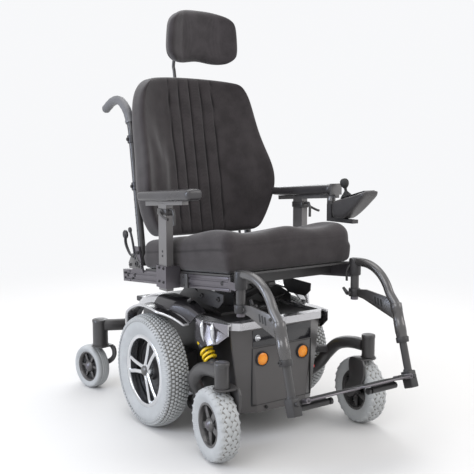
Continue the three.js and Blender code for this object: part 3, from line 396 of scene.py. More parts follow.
# a lighter copy of the black plastic for the pod alone: its lift is partly painted highlight
podPlasticPaintedHighlight = hardFinish("podPlasticPaintedHighlight", (0.044, 0.042, 0.043), (0.064, 0.062, 0.063), 0.36, 0.0,
                        grain=700, bump=0.16)
rubberBlack = hardFinish("blackRubber", (0.016, 0.016, 0.016), (0.03, 0.03, 0.03), 0.72, 0.0,
                         grain=600, bump=0.3)
redPlastic = hardFinish("redLever", (0.42, 0.012, 0.012), (0.55, 0.03, 0.02), 0.35, 0.0, coat=0.3)
knitCover = knitFinish("charcoalKnit", (0.0205, 0.0175, 0.0185), (0.036, 0.031, 0.033), 560.0, 0.26)
knitHead = knitFinish("charcoalKnitHead", (0.0250, 0.0220, 0.0235), (0.042, 0.037, 0.040), 640.0, 0.26)


def tyreFinish(name, ribPitch):
    # pale rubber with moulded radial ribs low on the wall and paler dusty patches at random; the darker tread
    # grooves are a second rubber, painted shade
    material, tree, shader = startMaterial(name)
    speck = placeGroup(tree, grainGroup, {"Scale": 420.0, "Cloud": 22.0})
    tint = placeGroup(tree, tintGroup, {"Colour": (0.335, 0.345, 0.35, 1), "WornAndGlint": (0.40, 0.41, 0.415, 1),
                                        "Amount": 0.55})
    tree.links.new(speck.outputs["Cloud"], tint.inputs["Mask"])
    where = tree.nodes.new("ShaderNodeUVMap")
    where.uv_map = "around"
    split = tree.nodes.new("ShaderNodeSeparateXYZ")
    tree.links.new(where.outputs[0], split.inputs[0])
    ribs = mathNode(tree, "SINE", mathNode(tree, "MULTIPLY", split.outputs["X"], ribPitch * 2 * math.pi))
    onWall = tree.nodes.new("ShaderNodeMapRange")
    onWall.inputs["From Min"].default_value = 0.82
    onWall.inputs["From Max"].default_value = 0.70
    tree.links.new(split.outputs["Y"], onWall.inputs["Value"])
    height = mathNode(tree, "MULTIPLY", ribs, mathNode(tree, "MULTIPLY", onWall.outputs[0], 0.8))
    relief = tree.nodes.new("ShaderNodeBump")
    relief.inputs["Strength"].default_value = 0.4
    relief.inputs["Distance"].default_value = 0.0009
    tree.links.new(mathNode(tree, "ADD", height, mathNode(tree, "MULTIPLY", speck.outputs["Height"], 0.5)),
                   relief.inputs["Height"])
    tree.links.new(relief.outputs[0], shader.inputs["Normal"])
    tree.links.new(tint.outputs["Colour"], shader.inputs["Base Color"])
    shader.inputs["Roughness"].default_value = 0.78
    shader.inputs["Specular IOR Level"].default_value = 0.3
    return material


driveRubber = tyreFinish("paleDriveRubber", 150)
casterRubber = tyreFinish("paleCasterRubber", 80)


def lensFinish():
    # amber lens with rows of small prisms behind it, each prism cell paling to bright amber towards its edge:
    # a painted glint
    material, tree, shader = startMaterial("amberLens")
    where = tree.nodes.new("ShaderNodeTexCoord")
    prism = tree.nodes.new("ShaderNodeTexVoronoi")
    prism.inputs["Scale"].default_value = 260
    prism.inputs["Randomness"].default_value = 0.1
    tree.links.new(where.outputs["Object"], prism.inputs["Vector"])
    # painted glint: bright amber towards the edge of each prism cell
    tint = placeGroup(tree, tintGroup, {"Colour": (0.62, 0.17, 0.002, 1), "WornAndGlint": (0.95, 0.42, 0.01, 1),
                                        "Amount": 0.9})
    tree.links.new(prism.outputs["Distance"], tint.inputs["Mask"])
    tree.links.new(tint.outputs["Colour"], shader.inputs["Base Color"])
    relief = tree.nodes.new("ShaderNodeBump")
    relief.inputs["Strength"].default_value = 0.5
    relief.inputs["Distance"].default_value = 0.001
    tree.links.new(prism.outputs["Distance"], relief.inputs["Height"])
    tree.links.new(relief.outputs[0], shader.inputs["Normal"])
    shader.inputs["Roughness"].default_value = 0.2
    shader.inputs["Coat Weight"].default_value = 0.35
    shader.inputs["Coat Roughness"].default_value = 0.05
    return material


amberLens = lensFinish()
print("materials are ready")

# ---- mesh helpers


def finishPiece(name, bm, material, body, replaced=(), bevel=None, smooth=38, levels=0):
    # turns a bmesh into a finished object that rides on a body
    bmesh.ops.remove_doubles(bm, verts=bm.verts, dist=0.00002)
    bmesh.ops.recalc_face_normals(bm, faces=bm.faces)
    mesh = bpy.data.meshes.new(name)
    bm.to_mesh(mesh)
    bm.free()
    mesh.shade_smooth()
    mesh.set_sharp_from_angle(angle=math.radians(smooth))
    mesh.materials.append(material)
    piece = bpy.data.objects.new(name, mesh)
    scene.collection.objects.link(piece)
    if bevel:
        edge = piece.modifiers.new("edges", "BEVEL")
        edge.width, edge.segments = bevel
        edge.limit_method = "ANGLE"
        edge.angle_limit = math.radians(32)
        edge.use_clamp_overlap = True
        edge.harden_normals = True
    if levels:
        soften = piece.modifiers.new("soften", "SUBSURF")
        soften.levels = soften.render_levels = levels
    if body:
        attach(piece, body)
    if replaced:
        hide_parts(*replaced)
    return piece


def frameAlong(points):
    # a turning frame at each point of a path that doesn't twist
    tangents = []
    for index in range(len(points)):
        before, after = points[max(index - 1, 0)], points[min(index + 1, len(points) - 1)]
        tangents.append((after - before).normalized())
    across = tangents[0].orthogonal().normalized()
    frames = []
    for index, tangent in enumerate(tangents):
        if index:
            across = (tangents[index - 1].rotation_difference(tangent) @ across).normalized()
        other = tangent.cross(across).normalized()
        turn = Matrix((across, other, tangent)).transposed().to_4x4()
        frames.append(Matrix.Translation(points[index]) @ turn)
    return frames


def smoothPath(points, perSpan=6):
    # Catmull-Rom through the points
    path = []
    ends = [points[0] * 2 - points[1], *points, points[-1] * 2 - points[-2]]
    for index in range(1, len(ends) - 2):
        a, b, c, d = ends[index - 1], ends[index], ends[index + 1], ends[index + 2]
        for step in range(perSpan):
            t = step / perSpan
            path.append(0.5 * ((2 * b) + (c - a) * t + (2 * a - 5 * b + 4 * c - d) * t * t
                               + (3 * b - a - 3 * c + d) * t ** 3))
    path.append(points[-1].copy())
    return path


def addTube(bm, points, radius, sides=24, flat=1.0):
    # extrudes a circle along a path; radius may be one value or one for each point
    radii = [radius] * len(points) if isinstance(radius, (int, float)) else radius
    frames = frameAlong(points)
    size = [frames[i] @ Matrix.Diagonal((radii[i] * flat, radii[i], 1, 1)) for i in range(len(points))]
    ring = bmesh.ops.create_circle(bm, cap_ends=True, radius=1.0, segments=sides, matrix=size[0])["verts"]
    edges = list({e for v in ring for e in v.link_edges if all(w in ring for w in e.verts)})
    for index in range(1, len(points)):
        grown = bmesh.ops.extrude_edge_only(bm, edges=edges)["geom"]
        verts = [g for g in grown if isinstance(g, bmesh.types.BMVert)]
        edges = [g for g in grown if isinstance(g, bmesh.types.BMEdge)]
        bmesh.ops.transform(bm, matrix=size[index] @ size[index - 1].inverted(), verts=verts)
    bmesh.ops.edgeloop_fill(bm, edges=edges)


def addLathe(bm, profile, centre, axis, segments=48):
    # turns a [radius, along] profile about an axis; it starts and ends on the axis or closes on itself
    axis = Vector(axis).normalized()
    turn = Vector((0, 0, 1)).rotation_difference(axis).to_matrix().to_4x4()
    place = Matrix.Translation(centre) @ turn
    verts = [bm.verts.new(place @ Vector((r, 0, along))) for r, along in profile]
    closed = profile[0][0] > 0
    edges = [bm.edges.new(pair) for pair in zip(verts, verts[1:] + (verts[:1] if closed else []))]
    bmesh.ops.spin(bm, geom=verts + edges, cent=centre, axis=axis, angle=2 * math.pi, steps=segments,
                   use_merge=True)
    bmesh.ops.remove_doubles(bm, verts=bm.verts, dist=0.00001)


def addBox(bm, low, high, bevel=0.0, segments=2, turn=None, about=None):
    low, high = Vector(low), Vector(high)
    size = Matrix.Diagonal((*(high - low), 1))
    place = Matrix.Translation((low + high) / 2)
    if turn:
        pivot = Matrix.Translation(Vector(about) if about else (low + high) / 2)
        place = pivot @ turn.to_4x4() @ pivot.inverted() @ place
    made = bmesh.ops.create_cube(bm, size=1.0, matrix=place @ size)["verts"]
    if bevel:
        edges = list({e for v in made for e in v.link_edges})
        bmesh.ops.bevel(bm, geom=edges, offset=bevel, segments=segments, profile=0.5, affect="EDGES",
                        material=-1)
    return made


def addPlate(bm, outline, thickness, bevel=0.0, segments=2):
    # a flat outline of points, thickened along the vector
    verts = [bm.verts.new(p) for p in outline]
    face = bm.faces.new(verts)
    grown = bmesh.ops.extrude_face_region(bm, geom=[face])["geom"]
    top = [g for g in grown if isinstance(g, bmesh.types.BMVert)]
    bmesh.ops.translate(bm, vec=thickness, verts=top)
    if bevel:
        edges = list({e for v in verts + top for e in v.link_edges})
        bmesh.ops.bevel(bm, geom=edges, offset=bevel, segments=segments, profile=0.5, affect="EDGES",
                        material=-1)


def addBolt(bm, place, axis, radius=0.006, height=0.004):
    # a socket-head bolt: a domed head with a sunk hexagon
    profile = [(0, height * 0.35), (radius * 0.45, height * 0.35), (radius * 0.5, height),
               (radius * 0.85, height),
               (radius, height * 0.7), (radius, 0), (0, 0)]
    addLathe(bm, profile, Vector(place), axis, 16)


def softCube(counts):
    # a cube from -1 to 1 with its own number of rows each way
    bm = bmesh.new()
    bmesh.ops.create_cube(bm, size=2.0)
    for axis, count in enumerate(counts):
        along = [e for e in bm.edges if abs((e.verts[0].co - e.verts[1].co)[axis]) > 0.000001]
        bmesh.ops.subdivide_edges(bm, edges=along, cuts=count - 1, use_grid_fill=True)
    return bm


def markSeamShade(piece, seamShadeStrengths):
    # the 'seam' attribute holds how much painted shade each seam groove gets
    layer = piece.data.attributes.new("seam", "FLOAT", "POINT")
    layer.data.foreach_set("value", seamShadeStrengths)


def gather(value, centres, width, pull=0.62):
    # draws rows of vertices together near each centre, so that a seam there stays crisp
    return value - sum(pull * (value - c) * math.exp(-((value - c) / width) ** 2) for c in centres)


def roundBlock(point, half, radius):
    # moves a point of the cube onto a block with rounded edges, given back as shares of its half sizes
    place = Vector(p * h for p, h in zip(point, half))
    core = Vector(max(-(h - radius), min(h - radius, p)) for p, h in zip(place, half))
    off = place - core
    if off.length > 0:
        place = core + off.normalized() * radius
    return [p / h for p, h in zip(place, half)]


def copyNode(name, nodes, material, body, bevel=(0.0015, 2), smooth=38):
    # a merged copy of CAD solids whose edges are then rounded
    bm = bmesh.new()
    for node in nodes:
        bm.from_mesh(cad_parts[node].data)
    bmesh.ops.remove_doubles(bm, verts=bm.verts, dist=0.00002)
    bmesh.ops.dissolve_limit(bm, angle_limit=math.radians(1.0), verts=bm.verts, edges=bm.edges)
    mesh = bpy.data.meshes.new(name)
    bm.to_mesh(mesh)
    bm.free()
    mesh.shade_smooth()
    mesh.set_sharp_from_angle(angle=math.radians(smooth))
    mesh.materials.append(material)
    piece = bpy.data.objects.new(name, mesh)
    scene.collection.objects.link(piece)
    if bevel:
        edge = piece.modifiers.new("edges", "BEVEL")
        edge.width, edge.segments = bevel
        edge.limit_method = "ANGLE"
        edge.angle_limit = math.radians(32)
        edge.harden_normals = True
    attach(piece, body)
    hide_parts(*nodes)
    return piece


def paintNode(node, material):
    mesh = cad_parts[node].data
    mesh.materials.clear()
    mesh.materials.append(material)


sides = {"left": 1, "right": -1}

# ---- wheels


def setAround(piece, centre, axis, inner, outer):
    # an "around" UV: turns about the axle across, share of the radius up
    mesh = piece.data
    layer = mesh.uv_layers.new(name="around")
    axis = Vector(axis).normalized()
    across = axis.cross(Vector((0, 0, 1))).normalized()
    up = across.cross(axis)
    for polygon in mesh.polygons:
        middle = polygon.center - centre
        base = math.atan2(middle.dot(up), middle.dot(across)) / (2 * math.pi)
        for loop in polygon.loop_indices:
            offset = mesh.vertices[mesh.loops[loop].vertex_index].co - centre
            turn = math.atan2(offset.dot(up), offset.dot(across)) / (2 * math.pi)
            turn += round(base - turn)
            radius = (offset - axis * offset.dot(axis)).length
            layer.data[loop].uv = (turn, (radius - inner) / (outer - inner))


def wheelMatrix(centre, axis):
    # local X runs along the axle
    turn = Vector((1, 0, 0)).rotation_difference(Vector(axis)).to_matrix().to_4x4()
    return Matrix.Translation(centre) @ turn


def tyreProfile(wheel):
    half, rim, top = wheel["width"] / 2, wheel["rim"], wheel["radius"]
    wall = top - rim
    side = [(0, 0.80), (0.08, 0.84), (0.20, 0.90), (0.38, 0.985), (0.55, 1.0), (0.70, 0.985), (0.82, 0.90),
            (0.92, 0.72), (0.975, 0.48)]
    crown = wheel["crown"]
    right = [(rim + wall * up, half * across) for up, across in side]
    middle = [(top - crown * (a / 0.42) ** 2 * 0.1, half * a) for a in (0.3, 0.15, 0, -0.15, -0.3)]
    return right + middle + [(r, -a) for r, a in reversed(right)]


driveTyre = {"radius": 0.1722, "width": 0.074, "rim": 0.112, "crown": 0.006, "rows": 7, "around": 84,
             "pitch": 0.0104, "block": (0.0088, 0.0088, 0.0080)}
frontTyre = {"radius": 0.1046, "width": 0.062, "rim": 0.0635, "crown": 0.008}
rearTyre = {"radius": 0.0785, "width": 0.049, "rim": 0.0548, "crown": 0.006}


def buildDriveWheel(side, sign):
    centre = spot(sign * 275, 20, 178)
    body = "drive_wheel_" + side
    bm = bmesh.new()
    addLathe(bm, tyreProfile(driveTyre), Vector(), (1, 0, 0), 96)
    # the crown under the tread blocks takes the darker groove rubber: painted shade in the grooves
    for f in bm.faces:
        middle = f.calc_center_median()
        f.material_index = 1 if math.hypot(middle.y, middle.z) > 0.1655 else 0
    wide, long, high = driveTyre["block"]
    for row in range(driveTyre["rows"]):
        offset = (row - (driveTyre["rows"] - 1) / 2) * driveTyre["pitch"]
        lean = offset * 15.5
        drop = 0.5 * offset * offset / 0.062
        for step in range(driveTyre["around"]):
            angle = 2 * math.pi * (step + 0.5 * (row % 2)) / driveTyre["around"]
            radius = 0.178 - drop - high / 2
            place = (Matrix.Rotation(angle, 4, "X") @ Matrix.Translation((offset, 0, radius))
                     @ Matrix.Rotation(lean, 4, "Y") @ Matrix.Rotation(0.12 * (-1) ** row, 4, "Z")
                     @ Matrix.Diagonal((wide, long, high, 1)))
            cube = bmesh.ops.create_cube(bm, size=1.0, matrix=place)["verts"]
            rounded = list({e for v in cube for e in v.link_edges})
            bmesh.ops.bevel(bm, geom=rounded, offset=0.0014, segments=1, profile=0.5, affect="EDGES",
                            material=-1)
    for face in (1, -1):  # shoulder lugs that run down onto the wall
        for step in range(driveTyre["around"]):
            angle = 2 * math.pi * (step + 0.5) / driveTyre["around"]
            place = (Matrix.Rotation(angle, 4, "X") @ Matrix.Translation((face * 0.0352, 0, 0.1605))
                     @ Matrix.Rotation(face * 1.02, 4, "Y") @ Matrix.Diagonal((0.0105, 0.0066, 0.0052, 1)))
            cube = bmesh.ops.create_cube(bm, size=1.0, matrix=place)["verts"]
            rounded = list({e for v in cube for e in v.link_edges})
            bmesh.ops.bevel(bm, geom=rounded, offset=0.0011, segments=1, profile=0.5, affect="EDGES",
                            material=-1)
    bmesh.ops.transform(bm, matrix=Matrix.Translation(centre), verts=bm.verts)
    piece = finishPiece("driveTyre" + side.title(), bm, driveRubber, body,
                        ["drive_tyre_" + side], smooth=50)
    piece.data.materials.append(grooveShadeRubber)
    setAround(piece, centre, (1, 0, 0), driveTyre["rim"], driveTyre["radius"])

    rim = bmesh.new()
    outward = 0.0304
    lip = [(0.1145, outward), (0.1145, outward - 0.006), (0.1115, outward - 0.010), (0.106, outward - 0.045),
           (0.1035, outward - 0.045), (0.1015, outward - 0.008), (0.1015, outward - 0.0015),
           (0.1035, outward + 0.001), (0.1115, outward + 0.0015)]
    addLathe(rim, lip, Vector(), (1, 0, 0), 96)
    for turn in (0, 120, 240):
        loop = [(0.010, -0.0085), (0.040, -0.0115), (0.070, -0.0165), (0.090, -0.0215), (0.1005, -0.0190),
                (0.1035, -0.007), (0.1035, 0.007), (0.1005, 0.0190), (0.090, 0.0215), (0.070, 0.0165),
                (0.040, 0.0115), (0.010, 0.0085)]
        path = smoothPath([Vector((outward - 0.006 - 0.05 * max(0, 0.06 - r), t, 0)) + Vector((0, 0, r))
                           for r, t in loop], 4)
        spoke = bmesh.new()
        addTube(spoke, path, 0.0068, 14)
        bmesh.ops.scale(spoke, vec=(0.75, 1, 1), space=Matrix.Translation((-(outward - 0.006), 0, 0)),
                        verts=spoke.verts)
        bmesh.ops.transform(spoke, matrix=Matrix.Rotation(math.radians(turn - 90), 4, "X"), verts=spoke.verts)
        part = bpy.data.meshes.new("spoke")
        spoke.to_mesh(part)
        spoke.free()
        rim.from_mesh(part)
    hub = [(0, outward - 0.004), (0.0195, outward - 0.004), (0.022, outward - 0.007),
           (0.024, outward - 0.012),
           (0.026, outward - 0.030), (0, outward - 0.030)]
    addLathe(rim, hub, Vector(), (1, 0, 0), 40)
    place = Matrix.Translation(centre) @ Matrix.Diagonal((sign, 1, 1, 1))
    bmesh.ops.transform(rim, matrix=place, verts=rim.verts)
    finishPiece("driveRim" + side.title(), rim, brightMetal, body, ["drive_rim_" + side],
                smooth=45)

    cap = bmesh.new()
    addLathe(cap, [(0, outward + 0.0045), (0.006, outward + 0.0042), (0.012, outward + 0.0026),
                   (0.0158, outward - 0.001),
                   (0.0162, outward - 0.006), (0, outward - 0.006)], Vector(), (1, 0, 0), 40)
    bmesh.ops.transform(cap, matrix=place, verts=cap.verts)
    finishPiece("driveHubCap" + side.title(), cap, greyPaint, body, smooth=60)

    well = bmesh.new()
    inner = [(0, 0.008), (0.030, 0.008), (0.034, -0.002), (0.052, -0.004), (0.053, -0.007), (0.068, -0.008),
             (0.069, -0.005), (0.072, -0.005), (0.073, -0.009), (0.088, -0.010), (0.089, -0.006),
             (0.092, -0.006),
             (0.093, -0.012), (0.1030, -0.018), (0.1135, -0.030),
             (0.1135, -0.0315), (0.030, -0.034), (0.0125, -0.036), (0.0125, -0.060), (0, -0.060)]
    addLathe(well, inner, Vector(), (1, 0, 0), 64)
    bmesh.ops.transform(well, matrix=place, verts=well.verts)
    finishPiece("driveWell" + side.title(), well, darkCast, body, smooth=45)


for sideName, sideSign in sides.items():
    buildDriveWheel(sideName, sideSign)
print("drive wheels are ready")


def buildCasterWheel(kind, side, centre, axis, tyre):
    body = kind + "_wheel_" + side
    bm = bmesh.new()
    profile = tyreProfile(tyre)
    if kind == "rear":  # three grooves round the tread
        grooved = []
        for r, a in profile:
            depth = 0.0022 if any(abs(a - g) < 0.0012 for g in (-0.0075, 0, 0.0075)) else 0
            grooved.append((r - depth, a))
        profile = grooved
    addLathe(bm, profile, Vector(), (1, 0, 0), 80)
    # the front caster's crown under its blocks takes the darker groove rubber: painted shade in the grooves
    for f in bm.faces:
        middle = f.calc_center_median()
        f.material_index = 1 if kind == "front" and math.hypot(middle.y, middle.z) > 0.1005 else 0
    if kind == "front":  # slanted road blocks in three rows, longer at the shoulders
        for row, (offset, skew, deep) in enumerate([(-0.0205, 0.5, 0.0050), (-0.0070, -0.42, 0.0044),
                                                    (0.0070, 0.42, 0.0044), (0.0205, -0.5, 0.0050)]):
            count = 26
            drop = 0.5 * offset * offset / 0.054
            for step in range(count):
                angle = 2 * math.pi * (step + 0.5 * (row % 2)) / count
                place = (Matrix.Rotation(angle, 4,
                                         "X") @ Matrix.Translation((offset, 0, 0.1056 - drop - deep / 2))
                         @ Matrix.Rotation(offset * 17, 4, "Y") @ Matrix.Rotation(skew, 4, "Z")
                         @ Matrix.Diagonal((0.0132, 0.0246, deep, 1)))
                cube = bmesh.ops.create_cube(bm, size=1.0, matrix=place)["verts"]
                rounded = list({e for v in cube for e in v.link_edges})
                bmesh.ops.bevel(bm, geom=rounded, offset=0.0014, segments=1, profile=0.5, affect="EDGES",
                                material=-1)
    bmesh.ops.transform(bm, matrix=wheelMatrix(centre, axis), verts=bm.verts)
    piece = finishPiece(kind + "Tyre" + side.title(), bm, casterRubber, body,
                        [kind + "_tyre_" + side], smooth=50)
    piece.data.materials.append(grooveShadeRubber)
    setAround(piece, centre, axis, tyre["rim"], tyre["radius"])

    rim = bmesh.new()
    lip, edge = tyre["rim"], tyre["width"] * 0.4
    if kind == "front":
        addLathe(rim, [(lip, -edge), (lip, edge), (lip - 0.002, edge + 0.001), (lip - 0.007, edge),
                       (lip - 0.009, edge - 0.006), (lip - 0.012, edge - 0.016), (lip - 0.012, -edge + 0.016),
                       (lip - 0.009, -edge + 0.006), (lip - 0.007, -edge), (lip - 0.002, -edge - 0.001)],
                 Vector(), (1, 0, 0), 64)
        finishRim = greyPaint
    else:
        addLathe(rim, [(lip, -edge), (lip, edge), (lip - 0.003, edge + 0.0005), (lip - 0.006, edge - 0.002),
                       (lip - 0.009, edge - 0.010), (lip - 0.009, -edge + 0.010),
                       (lip - 0.006, -edge + 0.002),
                       (lip - 0.003, -edge - 0.0005)], Vector(), (1, 0, 0), 64)
        finishRim = anthracite
    spokes = 5 if kind == "front" else 6
    for step in range(spokes):
        turn = Matrix.Rotation(math.radians(360 * (step + 0.5) / spokes), 4, "X")
        for face in (1, -1):
            place = Matrix.Translation((face * (edge - 0.010), 0, (0.015 + lip - 0.008) / 2))
            size = Matrix.Diagonal((0.006, 0.019 if kind == "front" else 0.0095, lip - 0.023, 1))
            cube = bmesh.ops.create_cube(rim, size=1.0, matrix=turn @ place @ size)["verts"]
            rounded = list({e for v in cube for e in v.link_edges})
            bmesh.ops.bevel(rim, geom=rounded, offset=0.0016, segments=2, profile=0.5, affect="EDGES",
                            material=-1)
    core = tyre["width"] * 0.40
    bore = 0.0062 if kind == "front" else 0.0052
    addLathe(rim, [(bore, -core), (0.019, -core), (0.021, -core + 0.004), (0.021, core - 0.006),
                   (0.017, core - 0.001), (0.010, core + 0.003), (bore, core + 0.003)], Vector(), (1, 0, 0),
             40)
    bmesh.ops.transform(rim, matrix=wheelMatrix(centre, axis), verts=rim.verts)
    finishPiece(kind + "Rim" + side.title(), rim, finishRim, body, [kind + "_rim_" + side],
                smooth=40)
    web = bmesh.new()
    addLathe(web, [(0.020, -0.004), (lip - 0.010, -0.005), (lip - 0.010, 0.005), (0.020, 0.004)],
             Vector(), (1, 0, 0), 48)
    bmesh.ops.transform(web, matrix=wheelMatrix(centre, axis), verts=web.verts)
    finishPiece(kind + "Web" + side.title(), web, rubberBlack, body, smooth=40)
    cap = bmesh.new()
    tip = core + 0.003
    addLathe(cap, [(0, tip + 0.002), (0.006, tip + 0.002), (0.012, tip - 0.001), (0.0155, tip - 0.006),
                   (0.0155, tip - 0.010), (0, tip - 0.010)], Vector(), (1, 0, 0), 32)
    bmesh.ops.transform(cap, matrix=wheelMatrix(centre, axis), verts=cap.verts)
    finishPiece(kind + "HubCap" + side.title(), cap, darkAnodised, body, smooth=40)


casters = {
    "front": {"x": 277, "y": -378, "trail": 40, "steer": -8, "radius": 106, "tyre": frontTyre},
    "rear": {"x": 256, "y": 438, "trail": 55, "steer": 11, "radius": 79, "tyre": rearTyre},
}


def swivelMatrix(kind, sign):
    # from a caster's own frame, steering axis at the origin and trailing along +Y, to the row frame
    caster = casters[kind]
    turn = math.radians(caster["steer"])
    pivot = spot(sign * caster["x"], caster["y"], 0)
    return Matrix.Translation(pivot) @ Matrix.Rotation(turn, 4, "Z")


for kindName, caster in casters.items():
    for sideName, sideSign in sides.items():
        swivel = swivelMatrix(kindName, sideSign)
        hubPoint = swivel @ Vector((0, caster["trail"] / 1000, caster["radius"] / 1000))
        axle = swivel.to_3x3() @ Vector((sideSign, 0, 0))
        buildCasterWheel(kindName, sideName, hubPoint, axle, caster["tyre"])
print("caster wheels are ready")

# ---- forks, suspension arms and shocks

forks = {
    "front": {"crown": 25.5, "low": 214.6, "top": 221.1, "plate": (-43.5, -34.5), "axle": 40,
              "outline": [(-26, 220), (26, 220), (42, 208), (44, 186), (38, 162), (43, 142), (55, 124),
                          (60, 106),
                          (54, 92), (40, 87), (25, 92), (8, 107), (-12, 127), (-27, 150), (-36, 178),
                          (-36, 204)]},
    "rear": {"crown": 32.5, "low": 160.5, "top": 167.0, "plate": (-37.0, -29.0), "axle": 55,
             "outline": [(-20, 166), (24, 166), (20, 158), (-4, 156), (-20, 152), (-27, 140), (-25, 126),
                         (-8, 112),
                         (16, 102), (40, 94), (58, 94), (68, 86), (66, 72), (54, 65), (40, 68), (14, 82),
                         (-14, 95),
                         (-34, 110), (-46, 130), (-46, 150), (-38, 163)]},
}


def buildFork(kind, side, sign):
    fork = forks[kind]
    swivel = swivelMatrix(kind, sign) @ Matrix.Diagonal((sign, 1, 1, 1))
    bm = bmesh.new()
    low, top, crown = fork["low"] / 1000, fork["top"] / 1000, fork["crown"] / 1000
    addLathe(bm, [(0, low), (crown - 0.002, low), (crown, low + 0.002), (crown, top - 0.002),
                  (crown - 0.002, top),
                  (0, top)], Vector(), (0, 0, 1), 40)
    inside, outside = (v / 1000 for v in fork["plate"])
    addBox(bm, (inside + 0.001, -crown * 0.95, low), (0, crown * 0.90, top), 0.002)
    outline = smoothPath([Vector((inside, y / 1000, z / 1000)) for y, z in fork["outline"]], 3)
    addPlate(bm, outline, (outside - inside, 0, 0), 0.0022, 2)
    hub = Vector((inside, fork["axle"] / 1000, casters[kind]["radius"] / 1000))
    addLathe(bm, [(0, -0.005), (0.007, -0.005), (0.0085, -0.003), (0.0085, 0), (0.013, 0.0005),
                  (0.013, 0.002),
                  (0, 0.002)], hub, (1, 0, 0), 24)
    tyre = casters[kind]["tyre"]
    axleEnd = tyre["width"] * 0.4
    bore = 0.0052 if kind == "front" else 0.0042
    addTube(bm, [hub, Vector((axleEnd, hub.y, hub.z))], bore, 16)
    bmesh.ops.transform(bm, matrix=swivel, verts=bm.verts)
    finishPiece(kind + "Fork" + side.title(), bm, blackPaint, kind + "_caster_" + side,
                [kind + "_fork_" + side], smooth=35)


armRoute = [(272, -364, 257.5), (270, -322, 257), (268, -280, 250), (266, -242, 234), (260, -208, 201),
            (236, -190, 163), (208, -152, 124), (190, -110, 95)]
shockLine = {"x": 194, "foot": (-203, 237), "top": (-164, 277), "turns": 3.3, "wire": 0.0046, "coil": 0.0182,
             "travel": 7}


def barrelProfile(radius, bottom, top):
    return [(0, bottom), (radius - 0.001, bottom), (radius, bottom + 0.001), (radius, bottom + 0.004),
            (radius - 0.0012, bottom + 0.0045), (radius - 0.0012, top - 0.011), (radius, top - 0.0105),
            (radius, top - 0.0025), (radius - 0.0015, top - 0.0008), (radius - 0.004, top), (0, top)]


def buildSuspension(side, sign):
    bm = bmesh.new()
    route = [spot(sign * x, y, z) for x, y, z in armRoute]
    addTube(bm, smoothPath(route, 8), 0.0197, 28)
    barrelAt = spot(sign * 277, -378, 0)
    addLathe(bm, barrelProfile(0.0215, 0.2214, 0.2934), barrelAt, (0, 0, 1), 48)
    hub = spot(sign * 190, -110, 95)
    addLathe(bm, [(0.0088, -0.025), (0.0205, -0.025), (0.022, -0.0235), (0.022, 0.0235), (0.0205, 0.025),
                  (0.0088, 0.025)], hub, (1, 0, 0), 36)
    foot = spot(sign * shockLine["x"], *shockLine["foot"])
    top = spot(sign * shockLine["x"], *shockLine["top"])
    up = (top - foot).normalized()
    addLathe(bm, [(0, -0.026), (0.012, -0.026), (0.016, -0.020), (0.018, -0.010), (0.018, -0.001), (0.017, 0),
                  (0, 0)], foot, up, 36)
    lug = foot - up * 0.014
    addTube(bm, [lug, Vector((sign * 0.254, lug.y, lug.z - 0.013))], 0.0128, 20)
    finishPiece("swingArm" + side.title(), bm, blackPaint, "suspension_arm_" + side,
                ["swing_arm_" + side], smooth=42)

    # the coil and its damper run from the arm's cup up to the shock's head and ride on the chassis
    length = (top - foot).length
    coil = bmesh.new()
    frames = Matrix.Translation(foot) @ Vector((0, 0, 1)).rotation_difference(up).to_matrix().to_4x4()
    steps = int(shockLine["turns"] * 20)
    wire, radius = shockLine["wire"], shockLine["coil"]
    path = []
    for step in range(steps + 1):
        share = step / steps
        angle = 2 * math.pi * shockLine["turns"] * share
        rise = 0.0045 + (length - 0.009) * share
        path.append(frames @ Vector((radius * math.cos(angle), radius * math.sin(angle), rise)))
    addTube(coil, path, wire, 12)
    piece = finishPiece("springCoil" + side.title(), coil, yellowPaint, "chassis",
                        ["shock_spring_" + side], smooth=60)
    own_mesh(piece)
    damper = bmesh.new()
    addLathe(damper, [(0, 0.0006), (0.0172, 0.0006), (0.0176, 0.003), (0.0120, 0.0045), (0.0095, 0.006),
                      (0.0095, 0.030), (0.0100, 0.0305), (0.0045, 0.031), (0.0045, length - 0.006),
                      (0.0120, length - 0.0045), (0.0176, length - 0.003), (0.0172, length - 0.0006),
                      (0, length - 0.0006)], foot, up, 32)
    piece = finishPiece("damper" + side.title(), damper, blackPaint, "chassis", smooth=42)
    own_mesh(piece)
    knob = bmesh.new()
    addLathe(knob, [(0, 0.0), (0.014, 0.0), (0.0165, 0.003), (0.0165, 0.011), (0.012, 0.014), (0, 0.014)],
             top + up * 0.0115, up, 24)
    finishPiece("shockHead" + side.title(), knob, yellowPaint, "chassis", smooth=42)


def buildRearArm(side, sign):
    bm = bmesh.new()
    route = [spot(sign * x, y, z) for x, y, z in
             [(104, 389, 239), (140, 391, 239), (180, 398, 240), (218, 412, 241), (244, 428, 241)]]
    path = smoothPath(route, 6)
    addTube(bm, path, 0.0205, 28)
    bmesh.ops.scale(bm, vec=(1, 0.78, 1.02), space=Matrix.Translation(-spot(sign * 104, 389, 239)),
                    verts=bm.verts)
    addBox(bm, spot(sign * 104 - 22, 372.5, 219), spot(sign * 104 + 22, 396, 260), 0.003)
    barrelAt = spot(sign * 256, 438, 0)
    addLathe(bm, barrelProfile(0.0285, 0.1673, 0.2613), barrelAt, (0, 0, 1), 48)
    addLathe(bm, [(0, 0.2613), (0.016, 0.2613), (0.016, 0.2625), (0, 0.2625)], barrelAt, (0, 0, 1), 32)
    finishPiece("rearArm" + side.title(), bm, blackPaint, "chassis", ["rear_arm_" + side],
                smooth=42)


for sideName, sideSign in sides.items():
    for kindName in forks:
        buildFork(kindName, sideName, sideSign)
    buildSuspension(sideName, sideSign)
    buildRearArm(sideName, sideSign)
print("forks and suspension are ready")

# ---- chassis and body panels

